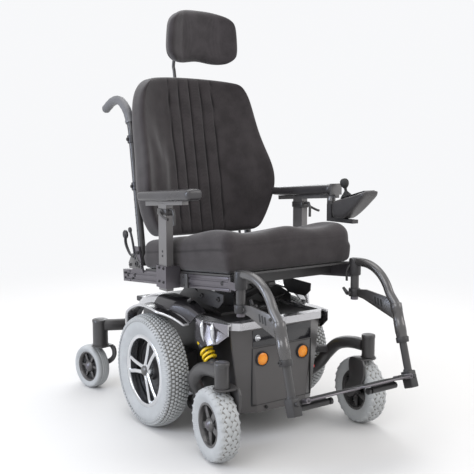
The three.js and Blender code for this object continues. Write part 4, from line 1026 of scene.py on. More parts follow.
copyNode("chassisFrame", ["chassis_frame"], blackPaint, "chassis", (0.0025, 2))
paintNode("battery_box", blackPlastic)
copyNode("deckPlate", ["deck"], blackPlastic, "chassis", (0.003, 2))
for sideName in sides:
    copyNode("driveMotor" + sideName.title(), ["drive_motor_" + sideName], blackPaint, "chassis",
             (0.004, 3))
copyNode("frontCover", ["front_cover"], anthracite, "chassis", (0.006, 3), smooth=25)
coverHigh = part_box("front_cover")[1]


def coverFace(z):
    # the cover's front plane bulges a little between its foot and its top
    up = (z * 1000 - 88) / 257
    return coverHigh.y - 0.0340 - 0.008 * up * (1 - up)


def buildCoverTrim():
    bm = bmesh.new()
    low, high, half = 0.290, 0.341, 0.111
    front = coverFace((low + high) / 2)
    addBox(bm, (-half, front - 0.0022, low), (half, front + 0.006, high), 0.0018, 2)
    finishPiece("coverUpperPanel", bm, glossBlack, "chassis", smooth=30)
    seams = bmesh.new()
    for z in (0.2865, 0.112):
        front = coverFace(z)
        addBox(seams, (-0.112, front - 0.0003, z - 0.0009), (0.112, front + 0.004, z + 0.0009))
    addBox(seams, (-0.1125, coverFace(0.2) - 0.0003, 0.113), (-0.1109, coverFace(0.2) + 0.006, 0.287))
    addBox(seams, (0.1109, coverFace(0.2) - 0.0003, 0.113), (0.1125, coverFace(0.2) + 0.006, 0.287))
    finishPiece("coverSeams", seams, rubberBlack, "chassis", smooth=30)
    latch = bmesh.new()
    front = coverFace(0.316)
    addLathe(latch, [(0, -0.002), (0.010, -0.002), (0.010, 0.003), (0.0085, 0.0045), (0, 0.0045)],
             Vector((-0.096, front - 0.003, 0.318)), (0, -1, 0), 32)
    addBox(latch, (-0.104, front - 0.0105, 0.3155), (-0.088, front - 0.006, 0.3205), 0.0012)
    finishPiece("coverLatch", latch, brightMetal, "chassis", smooth=35)
    small = bmesh.new()
    addLathe(small, [(0, -0.003), (0.006, -0.003), (0.006, 0.006), (0.004, 0.008), (0, 0.008)],
             Vector((0.052, coverFace(0.100) - 0.001, 0.101)), (0, -1, 0), 20)
    addLathe(small, [(0, -0.003), (0.005, -0.003), (0.005, 0.004), (0.003, 0.006), (0, 0.006)],
             Vector((-0.060, coverFace(0.100) - 0.001, 0.101)), (0, -1, 0), 20)
    finishPiece("coverKnobs", small, rubberBlack, "chassis", smooth=35)


buildCoverTrim()


def buildReflector(side):
    low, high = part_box("reflector_" + side)
    centre = Vector(((low.x + high.x) / 2, high.y, (low.z + high.z) / 2))
    bm = bmesh.new()
    addLathe(bm, [(0, 0), (0.0188, 0), (0.0188, 0.0036), (0.0174, 0.0050), (0.013, 0.0064), (0.006, 0.0070),
                  (0, 0.0071)], centre, (0, -1, 0), 48)
    finishPiece("reflector" + side.title(), bm, amberLens, "chassis", ["reflector_" + side],
                smooth=50)
    ring = bmesh.new()
    addLathe(ring, [(0.0189, 0), (0.0226, 0), (0.0226, 0.0045), (0.0216, 0.0060), (0.0195, 0.0056)],
             centre, (0, -1, 0), 48)
    finishPiece("reflectorRing" + side.title(), ring, blackPlastic, "chassis", smooth=50)


fenderShape = {"rise": 57, "flare": 45, "wing": 207, "outer": 300, "front": 230, "from": 49, "to": 155,
               "inner": 184.3}


def fenderPoint(across, angle, lift=0.0):
    # across runs from the shroud at 0 to the outer edge at 1; the angle runs from the front over the top
    shape = fenderShape
    turn = math.radians(angle)
    dome = 178 + shape["rise"] + shape["flare"] * math.cos(turn) ** 2
    steps = [(0, 1), (0.12, 0.998), (0.3, 0.965), (0.42, 0.88), (0.50, 0.70), (0.56, 0.42), (0.61, 0.14),
             (0.66, 0.02),
             (0.72, 0), (1, 0)]
    share = 0.0
    for (a, va), (b, vb) in zip(steps, steps[1:]):
        if a <= across <= b:
            t = (across - a) / (b - a)
            share = va + (vb - va) * t
            break
    ahead = min(1.0, max(0.0, (88 - angle) / 34))
    radius = shape["wing"] + (dome - shape["wing"]) * share + lift + 13 * ahead * ahead * (3 - 2 * ahead)
    y = 20 - shape["wing"] * math.cos(turn)
    edge = min(shape["outer"], shape["front"] + 0.85 * (y + 135), shape["outer"] - 1.3 * max(0, angle - 125))
    x = shape["inner"] + (edge - shape["inner"]) * across
    return x, 20 - radius * math.cos(turn), 178 + radius * math.sin(turn)


def buildFenderSheet(name, side, sign, start, stop, columns, span, material, replaced):
    bm = bmesh.new()
    bmesh.ops.create_grid(bm, x_segments=columns, y_segments=48, size=1.0)
    for v in bm.verts:
        across = start + (stop - start) * (v.co.x + 1) / 2
        angle = span[0] + (span[1] - span[0]) * (v.co.y + 1) / 2
        x, y, z = fenderPoint(across, angle)
        v.co = spot(sign * x, y, z)
    bmesh.ops.recalc_face_normals(bm, faces=bm.faces)
    middle = spot(sign * 240, 20, 178)
    if sum((f.calc_center_median() - middle).dot(f.normal) for f in bm.faces) < 0:
        bmesh.ops.reverse_faces(bm, faces=bm.faces)
    bmesh.ops.solidify(bm, geom=bm.faces[:], thickness=0.0036)
    finishPiece(name + side.title(), bm, material, "chassis", replaced, bevel=(0.0012, 2),
                smooth=45)


def buildFender(side, sign):
    shape = fenderShape
    split = 95
    # painted shade: the front of the fender is dark wing paint on the right but silver on the left
    sideShadedFrontPaint = wingPaint if side == "right" else silverPaint
    buildFenderSheet("fenderDome", side, sign, 0.0, 0.62, 18, (split, shape["to"]), silverPaint,
                     ["fender_" + side])
    buildFenderSheet("fenderFront", side, sign, 0.0, 0.62, 18, (shape["from"], split), sideShadedFrontPaint,
                     [])
    buildFenderSheet("fenderWing", side, sign, 0.62, 1.0, 8, (shape["from"], shape["to"]), wingPaint,
                     [])
    # the rolled lip along the fender's edge is silver: partly its own light grey, partly a painted highlight
    # on the dark wing's edge
    edge = bmesh.new()
    line = []
    for step in range(49):
        angle = shape["from"] + (shape["to"] - shape["from"]) * step / 48
        line.append(spot(*[c * (sign if i == 0 else 1) for i,
                           c in enumerate(fenderPoint(0.985, angle, -1.0))]))
    for share in (0.90, 0.80, 0.70):
        line.insert(0, spot(*[c * (sign if i == 0 else 1) for i, c in
                              enumerate(fenderPoint(share, shape["from"], -1.0))]))
    radii = [0.0042 + 0.0040 * min(1.0, max(0.0, (i - 34) / 12)) for i in range(len(line))]
    addTube(edge, line, radii, 12)
    finishPiece("fenderEdgeHighlight" + side.title(), edge, silverPaint, "chassis", smooth=60)
    web = bmesh.new()
    line = []
    for step in range(12):
        angle = 60 + 66 * step / 11
        turn = math.radians(angle)
        radius = 178 + shape["rise"] + shape["flare"] * math.cos(turn) ** 2 - 2.5
        line.append(spot(sign * 184.5, 20 - radius * math.cos(turn), 178 + radius * math.sin(turn)))
    outline = line + [spot(sign * 184.5, 1000 * (line[-1].y - layoutShift), 349),
                      spot(sign * 184.5, 1000 * (line[0].y - layoutShift), 349)]
    addPlate(web, outline, (sign * 0.0036, 0, 0), 0.0006, 1)
    finishPiece("fenderWeb" + side.title(), web, blackPlastic, "chassis", smooth=30)


shroudBand = copyNode("shroudBand", ["shroud"], silverPaint, "chassis", (0.004, 3), smooth=30)
shroudBand.data.materials.append(fairingPaint)
for v in shroudBand.data.vertices:  # the left fairing sits a little closer in
    if v.co.x > 0.188:
        v.co.x = 0.188 + (v.co.x - 0.188) * 0.45
for polygon in shroudBand.data.polygons:
    if polygon.center.z < 0.344 or abs(polygon.center.x) > 0.190:
        polygon.material_index = 1


def buildFairingTrim(side, sign):
    bm = bmesh.new()
    for y in (-186, -232):
        x = 219 - 0.35 * max(0, -215 - y)
        if side == "left":
            x = 188 + (x - 188) * 0.45
        path = smoothPath([spot(sign * (x - 3), y, 366), spot(sign * x, y - 2, 352),
                           spot(sign * x, y - 4, 326),
                           spot(sign * (x - 2), y - 8, 304)], 5)
        addTube(bm, path, [0.0020 + 0.0052 * math.sin(math.pi * i / (len(path) - 1))
                           for i in range(len(path))], 12)
    finishPiece("fairingRidges" + side.title(), bm, brightMetal, "chassis", smooth=60)


for sideName, sideSign in sides.items():
    buildReflector(sideName)
    buildFender(sideName, sideSign)
    buildFairingTrim(sideName, sideSign)
copyNode("seatMount", ["seat_mount"], blackPaint, "chassis", (0.002, 2))
copyNode("tiltActuator", ["tilt_actuator"], blackPaint, "chassis", (0.002, 2))
print("chassis and panels are ready")

# ---- seat frame, rails and armrest posts

copyNode("seatFrame", ["seat_frame"], blackPaint, "seat", (0.0015, 2))
seatTilt = math.radians(5.2)


def onRail(x, along, z):
    # a point beside the rail, in the tilted seat's own frame, in millimetres
    y = along * math.cos(seatTilt) + z * math.sin(seatTilt)
    up = -along * math.sin(seatTilt) + z * math.cos(seatTilt) + 487
    return spot(x, y, up)


def buildRail(side, sign):
    copyNode("seatRail" + side.title(), ["seat_rail_" + side], darkAnodised, "seat", (0.0012, 2))
    bolts = bmesh.new()
    outward = Vector((sign, 0, 0))
    for along in (-312, 214, 262):
        addBolt(bolts, onRail(sign * 229.5, along, -19), outward, 0.0062, 0.0040)
    for along, z in ((232, -30), (285, -12)):
        addBolt(bolts, onRail(sign * 230, along, z), outward, 0.0048, 0.0030)
    for y, z in ((-70, 512), (-44, 512), (-70, 470), (-44, 470)):
        addBolt(bolts, spot(sign * 281, y, z), outward, 0.0042, 0.0028)
    addBolt(bolts, spot(sign * 239.5, 178, 492), outward, 0.0095, 0.005)
    addBolt(bolts, spot(sign * 239, 172, 530), outward, 0.0060, 0.004)
    finishPiece("railBolts" + side.title(), bolts, darkCast, "seat", smooth=40)
    # a raised lip along the top and the foot of the rail, and a clamp plate by the armrest
    lips = bmesh.new()
    turn = Matrix.Rotation(-seatTilt, 3, "X")
    for first, last in ((-347, -136), (-24, 150), (246, 292)):
        for z in (-4.5, -36.5):
            middle = (onRail(sign * 231.8, first, z) + onRail(sign * 231.8, last, z)) / 2
            half = Vector((0.0022, (last - first) / 2000, 0.0042))
            addBox(lips, middle - half, middle + half, 0.0012, 2, turn=turn)
    finishPiece("railLips" + side.title(), lips, darkAnodised, "seat", smooth=40)
    clamp = bmesh.new()
    middle = onRail(sign * 233.5, -113, -20.5)
    addBox(clamp, middle - Vector((0.0040, 0.020, 0.0215)), middle + Vector((0.0040, 0.020, 0.0215)), 0.0016,
           2,
           turn=turn)
    for z in (-8, -33):
        addBolt(clamp, onRail(sign * 237, -113, z), outward, 0.0044, 0.0030)
    finishPiece("railClamp" + side.title(), clamp, blackPaint, "seat", smooth=40)
    caps = bmesh.new()
    for along in (-354, 297):
        low = onRail(sign * 216.5, along, -40)
        high = onRail(sign * 231.5, along, -1)
        middle = (low + high) / 2
        addBox(caps, middle - Vector((0.0076, 0.0008, 0.0195)), middle + Vector((0.0076, 0.0012, 0.0195)),
               0.0009, 2,
               turn=turn)
    finishPiece("railCaps" + side.title(), caps, blackPlastic, "seat", smooth=40)


def buildArmrest(side, sign):
    body = "armrest_" + side
    copyNode("armrestPost" + side.title(), ["armrest_post_" + side], postPaint, body,
             (0.0022, 2))
    # painted shade: thin black discs on the post stand for the shade inside its holes
    postHoleShade = bmesh.new()
    face = sign * 275.2
    for z in (548, 562):
        addLathe(postHoleShade, [(0, 0), (0.0035, 0), (0.0035, 0.0006), (0, 0.0006)], spot(face, -55, z), (sign, 0, 0),
                 16)
    finishPiece("postHoleShadeDiscs" + side.title(), postHoleShade, rubberBlack, body, smooth=40)
    # clamp lever and its band where the pad bracket meets the post
    clamp = bmesh.new()
    addBox(clamp, spot(min(sign * 248, sign * 278), -82, 672), spot(max(sign * 248, sign * 278), -28, 692),
           0.003)
    lever = [spot(sign * 280, -60, 682), spot(sign * 290, -72, 676), spot(sign * 293, -96, 668),
             spot(sign * 292, -118, 664)]
    addTube(clamp, smoothPath(lever, 5), 0.0042, 14)
    addBolt(clamp, spot(sign * 278, -60, 682), (sign, 0, 0), 0.009, 0.005)
    addTube(clamp, [spot(sign * 263, -84, 690), spot(sign * 263, -100, 690), spot(sign * 263, -106, 676),
                    spot(sign * 263, -106, 644)], 0.0045, 12)
    finishPiece("postClamp" + side.title(), clamp, blackPaint, body, smooth=42)


def padHeight(y):
    return 736 + (82 - y) * math.sin(math.radians(4))


def buildPad(side, sign):
    bm = softCube((12, 34, 10))
    for v in bm.verts:
        x, y, z = roundBlock(v.co, (27, 155, 16), 11.5)
        along = -73 + y * 155
        thick = 33 * (1 - 0.16 * max(0, y))
        crown = -3.0 * x * x + 1.5 if z > 0 else 0
        waist = 1 - 0.08 * max(0, -z)
        v.co = spot(sign * (265 + x * 27 * waist), along,
                    padHeight(along) + (z - 1) / 2 * thick + crown * max(0, z))
    pad = finishPiece("armPad" + side.title(), bm, padSkin, "armrest_" + side,
                      ["arm_pad_" + side],
                      smooth=180, levels=1)


for sideName, sideSign in sides.items():
    buildRail(sideName, sideSign)
    buildArmrest(sideName, sideSign)
    buildPad(sideName, sideSign)
print("seat frame and armrests are ready")

# ---- soft goods


backSoft = {"half": 245, "height": 535, "thickness": 60, "wrap": 66, "belly": 58, "crest": 17,
            "lean": 10, "footY": 148, "footZ": 582,
            "seams": (-87, -44, 0, 44, 87), "seamDepth": 4.6, "seamWidth": 2.2, "puff": 2.8, "edge": 18}


def leanBack(x, up, depth):
    lean = math.radians(backSoft["lean"])
    return spot(x, backSoft["footY"] + up * math.sin(lean) + depth * math.cos(lean),
                backSoft["footZ"] + up * math.cos(lean) - depth * math.sin(lean))


def backWidth(up):
    share = up / backSoft["height"]
    low = max(0, 1 - share / 0.3)
    high = max(0, (share - 0.3) / 0.7)
    belly = 0.035 * math.exp(-((share - 0.34) / 0.16) ** 2)
    return backSoft["half"] * (1.012 + belly - 0.14 * low ** 2 - 0.145 * high ** 1.5 - 0.05 * high ** 10)


def backPlace(x, y, z, push=0.0):
    # x and z run over the width and height, y from the front to the rear
    up = (z + 1) / 2 * backSoft["height"]
    up += 9 * max(0, z) ** 4 * (1 - x * x) - (9 + 15 * (1 - y) / 2) * abs(x) ** 2.6 * max(0, z) ** 3
    side = 1 - (0.16 if z > 0 else 0.1) * abs(z) ** 8 * abs(x) ** 4
    front = (1 - y) / 2
    depth = backSoft["thickness"] * (1 - front)
    wing = backSoft["wrap"] + backSoft["belly"] * math.exp(-((z + 0.3) / 0.5) ** 2)
    wrapped = wing * abs(x) ** 2.3 * (0.62 + 0.38 * front)
    return leanBack(x * backWidth(up) * side, up, depth - wrapped + push)


def buildBackCushion():
    soft = backSoft
    bm = softCube((84, 8, 60))
    seams = [s / soft["half"] for s in soft["seams"]]
    half = (soft["half"], soft["thickness"] / 2, soft["height"] / 2)
    seamShadeStrengths = []
    for v in bm.verts:
        x, y, z = v.co
        x = gather(x, seams, 0.05)
        x, y, z = roundBlock((x, y, z), half, soft["edge"])
        front = max(0.0, -y)
        across = x * backWidth((z + 1) / 2 * soft["height"])
        inside = max(0.0, 1 - abs(z) ** 14)
        groove = sum(math.exp(-((across - s) / soft["seamWidth"]) ** 2) for s in soft["seams"])
        channel = 0.0
        for left, right in zip(soft["seams"], soft["seams"][1:]):
            if left < across < right:
                channel = math.sin(math.pi * (across - left) / (right - left)) ** 0.7
        push = front * inside * (soft["seamDepth"] * groove - soft["puff"] * channel)
        # painted shade: the seam grooves on the front face are darkened through the 'seam' attribute
        seamShadeStrengths.append(min(1.0, groove * front * inside * 1.1) if y < -0.5 else 0.0)
        # soft creases where the wing turns forward, and a slow unevenness over the whole face
        wing = math.exp(-((abs(across) - 158) / 34) ** 2) * math.exp(-((z + 0.16) / 0.42) ** 2)
        crease = math.sin(abs(across) * 0.125 + z * 2.6) * 2.2 * wing
        line = 165 + 62 * max(0.0, z + 0.1)
        reach = math.exp(-((z + 0.26) / 0.5) ** 2)
        crest = -soft["crest"] * reach * math.exp(-((abs(across) - line) / 30) ** 2)
        uneven = 1.3 * math.sin(across * 0.021 + z * 3.1) * math.cos(z * 4.3 - across * 0.012)
        crown = -4.5 * (1 - z * z) * math.exp(-(abs(x) / 0.75) ** 4)
        v.co = backPlace(x, y, z, push + front * (crease + crest + uneven + crown))
    piece = finishPiece("backCushion", bm, knitCover, "back", ["back_cushion"], smooth=180,
                        levels=1)
    markSeamShade(piece, seamShadeStrengths)


seatSoft = {"half": 232, "front": -349, "rear": 146, "height": 114, "drop": 26, "bolster": 29, "pommel": 14,
            "edge": 31}


def buildSeatCushion():
    soft = seatSoft
    bm = softCube((56, 52, 14))
    middle, reach = (soft["front"] + soft["rear"]) / 2, (soft["rear"] - soft["front"]) / 2
    half = (soft["half"], reach, soft["height"] / 2)
    seam = 0.18
    seamShadeStrengths = []
    for v in bm.verts:
        x, y, z = v.co
        z = gather(z, [seam], 0.3, 0.4)
        x, y, z = roundBlock((x, y, z), half, soft["edge"] * (1 if z > 0 else 0.55))
        up = (z + 1) / 2
        front = max(0.0, -y)
        fall = max(0.0, front - 0.38) / 0.62
        bolster = (soft["bolster"] * math.exp(-((abs(x) - 0.90) / 0.19) ** 2) * (0.25 + 0.75 * front ** 0.8)
                   * (1 - 0.95 * fall * fall))
        pommel = soft["pommel"] * math.exp(-((x / 0.27) ** 2)) * front ** 0.7
        high = soft["height"] - soft["drop"] * (1 + y) / 2 + (bolster + pommel) * up - 5 * max(0, up - 0.5)
        swell = 1 + 0.018 * (1 - (2 * up - 1) ** 2) - 0.012 * (1 - up)
        crease = 1.6 * math.sin(x * 21 + y * 9) * math.exp(-((abs(x) - 0.86) / 0.12) ** 2) * (1 - up)
        side = math.exp(-((z - seam) / 0.045) ** 2) if abs(x) > 0.93 and y > -0.9 else 0.0
        tuck = 2.2 * side
        # painted shade: the tucked side seam is darkened through the 'seam' attribute
        seamShadeStrengths.append(0.45 * side)
        wide = x * soft["half"] * swell
        along = middle + y * reach * swell
        outward = Vector((x if abs(x) > 0.93 else 0, y if abs(y) > 0.93 else 0, 0))
        shift = outward.normalized() * (crease - tuck) if outward.length else outward
        height = 6.3 + up * high + 1.1 * math.sin(x * 6.5 + y * 4.0) * up
        v.co = onRail(wide + shift.x, along + shift.y, height)
    piece = finishPiece("seatCushion", bm, knitCover, "seat", ["seat_cushion"], smooth=180,
                        levels=1)
    markSeamShade(piece, seamShadeStrengths)


headSoft = {"half": 135, "bottom": 1152, "height": 178, "front": 150, "thickness": 54, "wing": 42, "edge": 25}


def buildHeadrest():
    soft = headSoft
    bm = softCube((40, 8, 28))
    half = (soft["half"], soft["thickness"] / 2, soft["height"] / 2)
    headMiddle = soft["bottom"] + soft["height"] / 2
    for v in bm.verts:
        x, y, z = roundBlock(v.co, half, soft["edge"])
        if z > 0:
            height = soft["height"] / 2 * (1 - 0.28 * abs(x) ** 2.7)
        else:
            height = soft["height"] / 2 * (1 - 0.13 * abs(x) ** 5 - 0.11 * math.exp(-(x / 0.42) ** 2))
        wide = soft["half"] * (0.985 - 0.045 * z - 0.15 * z ** 4)
        wrap = soft["wing"] * abs(x) ** 2.4
        tuck = 2.2 * math.exp(-((y - 0.35) / 0.10) ** 2) if abs(y) < 0.9 else 0
        front = max(0.0, -y)
        crown = front * (2.6 * math.exp(-((abs(x) - 0.56) / 0.07) ** 2) * (1 - z ** 6)
                         - 4.0 * (1 - z * z) * (1 - x * x))
        shrink = 1 - tuck / 90
        v.co = spot(x * wide * shrink - 5,
                    soft["front"] + soft["thickness"] / 2 + y * soft["thickness"] / 2 - wrap + crown,
                    headMiddle + z * height * shrink)
    piece = finishPiece("headrestPad", bm, knitHead, "headrest", ["headrest_pad"], smooth=180,
                        levels=1)
    rod = [leanBack(0, up, 84) for up in (330, 420, 510, 584)]
    top = leanBack(0, 590, 84)
    bend = [leanBack(0, 610, 84), Vector((0, top.y - 0.018, (headMiddle - 14) / 1000)),
            spot(0, 286, headMiddle - 2),
            spot(0, 248, headMiddle)]
    stem = bmesh.new()
    addTube(stem, smoothPath(rod + bend, 6), 0.0058, 20)
    addLathe(stem, [(0.0058, -0.008), (0.0112, -0.008), (0.0120, -0.007), (0.0120, 0.007), (0.0112, 0.008),
                    (0.0058, 0.008)], spot(0, 238, headMiddle), (1, 0, 0), 28)
    finishPiece("headrestStem", stem, blackPaint, "headrest_stem", ["headrest_rod"], smooth=45)
    copyNode("headrestBracket", ["headrest_bracket"], blackPaint, "headrest", (0.0012, 2))


buildBackCushion()
buildSeatCushion()
buildHeadrest()
print("soft goods are ready")

# ---- canes, shell and recline levers

cane = {"x": 218, "pivotY": 175, "pivotZ": 492, "lean": 9, "radius": 12.5, "collars": (258, 415)}


def caneAt(up, along=0.0, sign=1, x=None):
    lean = math.radians(cane["lean"])
    return spot(sign * (cane["x"] if x is None else x), cane["pivotY"] + up * math.sin(lean) + along,
                cane["pivotZ"] + up * math.cos(lean))


def buildCane(side, sign):
    bm = bmesh.new()
    route = [caneAt(up, along, sign) for up, along in
             [(-8, 0), (60, 0), (222.5, 0), (405, 0), (456, 2), (508, 18), (546, 62), (547, 118), (520, 186)]]
    path = smoothPath(route, 8)
    addTube(bm, path[:-12], 0.0123, 24)
    pin = caneAt(0, 0, sign)
    addTube(bm, [pin - Vector((sign * 0.005, 0, 0)), pin + Vector((sign * 0.0095, 0, 0))], 0.006, 16)
    finishPiece("backCane" + side.title(), bm, blackPaint, "back", ["back_cane_" + side],
                smooth=45)

    grip = bmesh.new()
    held = path[34:]
    count = len(held)
    radii = []
    for index in range(count):
        share = index / (count - 1)
        ends = 0.0017 * math.exp(-((share - 0.02) / 0.02) ** 2) - 0.004 * math.exp(-((share - 1) / 0.02) ** 2)
        radii.append(0.0152 + ends + 0.0004 * math.sin(share * 60))
    addTube(grip, held, radii, 24)
    finishPiece("pushGrip" + side.title(), grip, gripFoam, "back", smooth=60)

    clamps = bmesh.new()
    for up in cane["collars"]:
        axis = (caneAt(up + 10, 0, sign) - caneAt(up - 10, 0, sign)).normalized()
        middle = caneAt(up, 0, sign)
        addLathe(clamps, [(0.0127, -0.013), (0.0155, -0.013), (0.0168, -0.012), (0.0168, 0.012),
                          (0.0155, 0.013),
                          (0.0127, 0.013)], middle, axis, 32)
        addBolt(clamps, middle + Vector((sign * 0.0150, 0, 0)), (sign, 0, 0), 0.0065, 0.0055)
        addTube(clamps, [middle + Vector((0, -0.010, 0)), middle + Vector((0, -0.024, -0.002))], 0.0042, 14)
    finishPiece("caneClamps" + side.title(), clamps, darkCast, "back", smooth=42)
    # painted shade: thin black discs on the cane stand for the shade inside its holes
    caneHoleShade = bmesh.new()
    for up in range(84, 240, 26):
        addLathe(caneHoleShade, [(0, 0), (0.0028, 0), (0.0028, 0.0006), (0, 0.0006)],
                 caneAt(up, 0, sign) + Vector((sign * 0.0121, 0, 0)), (sign, 0, 0), 16)
    finishPiece("caneHoleShadeDiscs" + side.title(), caneHoleShade, rubberBlack, "back", smooth=42)

    # the recline lever: a slotted link with a round eye, and its short arm
    lever = bmesh.new()
    eye = spot(sign * 236, 266, 582)
    low = spot(sign * 239, 206, 512)
    addTube(lever, smoothPath([eye, spot(sign * 237, 262, 552), spot(sign * 238, 236, 524), low], 6), 0.0048,
            12,
            flat=1.6)
    addLathe(lever, [(0, -0.004), (0.0135, -0.004), (0.0150, -0.0025), (0.0150, 0.0025), (0.0135, 0.004),
                     (0.006, 0.005), (0, 0.005)], eye, (1, 0, 0), 32)
    addTube(lever, smoothPath([spot(sign * 236, 232, 600), spot(sign * 237, 214, 566),
                               spot(sign * 238, 200, 530),
                               spot(sign * 239, 190, 506)], 6), 0.0040, 12, flat=1.5)
    addLathe(lever, [(0, -0.003), (0.0085, -0.003), (0.0095, -0.0015), (0.0095, 0.0025), (0, 0.003)],
             spot(sign * 236, 232, 600), (1, 0, 0), 24)
    finishPiece("reclineLink" + side.title(), lever, darkCast, "seat", smooth=42)
    plate = bmesh.new()
    outline = [spot(sign * 236.5, y, z) for y, z in
               [(150, 478), (232, 471), (238, 490), (222, 512), (206, 526), (188, 522), (170, 505),
                (150, 496)]]
    addPlate(plate, outline, (sign * 0.0042, 0, 0), 0.0010, 2)
    for y, z in ((162, 486), (226, 484), (204, 514)):
        addBolt(plate, spot(sign * 240.5, y, z), (sign, 0, 0), 0.0052, 0.0035)
    finishPiece("reclinePlate" + side.title(), plate, greyPaint, "seat", smooth=42)


copyNode("backShell", ["back_shell"], blackPlastic, "back", (0.0014, 2), smooth=50)
for sideName, sideSign in sides.items():
    buildCane(sideName, sideSign)
print("canes and shell are ready")

# ---- joystick

pod = {"x": 268, "rear": -240, "length": 150, "width": 66, "bottom": 650, "height": 55, "nose": 731,
       "tilt": 15}


def podRoof(front):
    return pod["bottom"] + pod["height"] + pod["length"] * 0.27 * front


def podFloor(front):
    return pod["bottom"] + (pod["nose"] - pod["bottom"]) * max(0, (front - 0.3) / 0.7) ** 1.3


def buildJoystick():
    half = (pod["width"] / 2, pod["length"] / 2, 28)
    bm = softCube((18, 28, 12))
    for v in bm.verts:
        x, y, z = roundBlock(v.co, half, 13)
        front = (1 - y) / 2
        floor = podFloor(front)
        waist = 1 - 0.10 * max(0, -z) - 0.06 * max(0, front - 0.5)
        roof = podRoof(front) - 3.5 * x * x
        v.co = spot(pod["x"] + x * pod["width"] / 2 * waist, pod["rear"] - front * pod["length"],
                    floor + (z + 1) / 2 * (roof - floor))
    finishPiece("joystickPod", bm, podPlasticPaintedHighlight, "joystick", ["joystick_pod"], smooth=180,
                levels=1)

    slope = math.radians(pod["tilt"])
    turn = Matrix.Rotation(-slope, 3, "X")
    up = turn @ Vector((0, 0, 1))

    def onRoof(x, back, lift=0.0):
        front = back / pod["length"]
        return spot(pod["x"] + x, pod["rear"] - back, podRoof(front) - 3.5 * (x / 33) ** 2) + up * lift / 1000

    panel = bmesh.new()
    middle = onRoof(0, 98, 0.2)
    addBox(panel, middle - Vector((0.024, 0.042, 0.0016)), middle + Vector((0.024, 0.042, 0.0016)), 0.0014, 2,
           turn=turn)
    finishPiece("joystickPanel", panel, glossBlack, "joystick", smooth=35)
    keys = bmesh.new()
    for row in (74, 92):
        for x in (-14, 0, 14):
            place = onRoof(x, row, 2.0)
            addBox(keys, place - Vector((0.0048, 0.0042, 0.0014)), place + Vector((0.0048, 0.0042, 0.0014)),
                   0.0010, 2,
                   turn=turn)
    for x in (-14, 14):
        place = onRoof(x, 112, 2.0)
        addBox(keys, place - Vector((0.0060, 0.0050, 0.0014)), place + Vector((0.0060, 0.0050, 0.0014)),
               0.0010, 2,
               turn=turn)
    finishPiece("joystickKeys", keys, greyPaint, "joystick", smooth=35)
    lamps = bmesh.new()
    for step in range(6):
        place = onRoof(-15 + 6 * step, 126, 1.9)
        addBox(lamps, place - Vector((0.0018, 0.0022, 0.0004)), place + Vector((0.0018, 0.0022, 0.0004)),
               0.0003, 1,
               turn=turn)
    finishPiece("joystickLamps", lamps, dullMetal, "joystick", smooth=35)

    foot = spot(pod["x"], pod["rear"] - 40, podRoof(40 / 150) + 0.3)
    bellows = [(0, 0.0012), (0.0205, 0.0012), (0.0215, 0.0024), (0.0190, 0.0042), (0.0172, 0.0052),
               (0.0180, 0.0066),
               (0.0155, 0.0086), (0.0138, 0.0096), (0.0143, 0.0112), (0.0118, 0.0132), (0.0100, 0.0144),
               (0.0103, 0.0160), (0.0076, 0.0182), (0.0056, 0.0205), (0.0054, 0.0225), (0, 0.0225)]
    boot = bmesh.new()
    addLathe(boot, bellows, foot, up, 40)
    piece = finishPiece("joystickBoot", boot, rubberBlack, None, smooth=50)
    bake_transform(piece)
    knob = [(0, 0.0180), (0.0042, 0.0180), (0.0046, 0.031), (0.0075, 0.0335), (0.0115, 0.0385),
            (0.0135, 0.044),
            (0.0142, 0.050), (0.0132, 0.0555), (0.0100, 0.0600), (0.0052, 0.0622), (0, 0.0626)]
    stick = bmesh.new()
    addLathe(stick, knob, foot, up, 40)
    finishPiece("joystickStick", stick, rubberBlack, "joystick_lever", ["joystick_stick"],
                smooth=50)

    copyNode("joystickArm", ["joystick_arm"], blackPaint, "joystick", (0.0015, 2))
    cable = bmesh.new()
    route = smoothPath([spot(282, -238.7, 668), spot(285.5, -227, 664.5), spot(287.5, -213, 672),
                        spot(284, -214, 684),
                        spot(275.6, -215, 686)], 6)
    addTube(cable, route, 0.0022, 12)
    piece = finishPiece("joystickCable", cable, rubberBlack, "joystick", ["joystick_cable"],
                        smooth=60)
    port = bmesh.new()
    for x in (-14, 14):
        addLathe(port, [(0, -0.002), (0.006, -0.002), (0.0065, 0.004), (0.0045, 0.006), (0, 0.006)],
                 spot(pod["x"] + x, pod["rear"] - 3, 668), (0, 1, 0), 20)
    finishPiece("joystickPorts", port, rubberBlack, "joystick", smooth=42)


buildJoystick()
print("joystick is ready")

# ---- legrests and footplates

legrest = {"x": 214, "y": -378, "inner": 11.0, "lean": 16.1}


def lowerAt(up, sign=1):
    lean = math.radians(legrest["lean"])
    return spot(sign * legrest["x"], -604 + up * math.sin(lean), 236 + up * math.cos(lean))


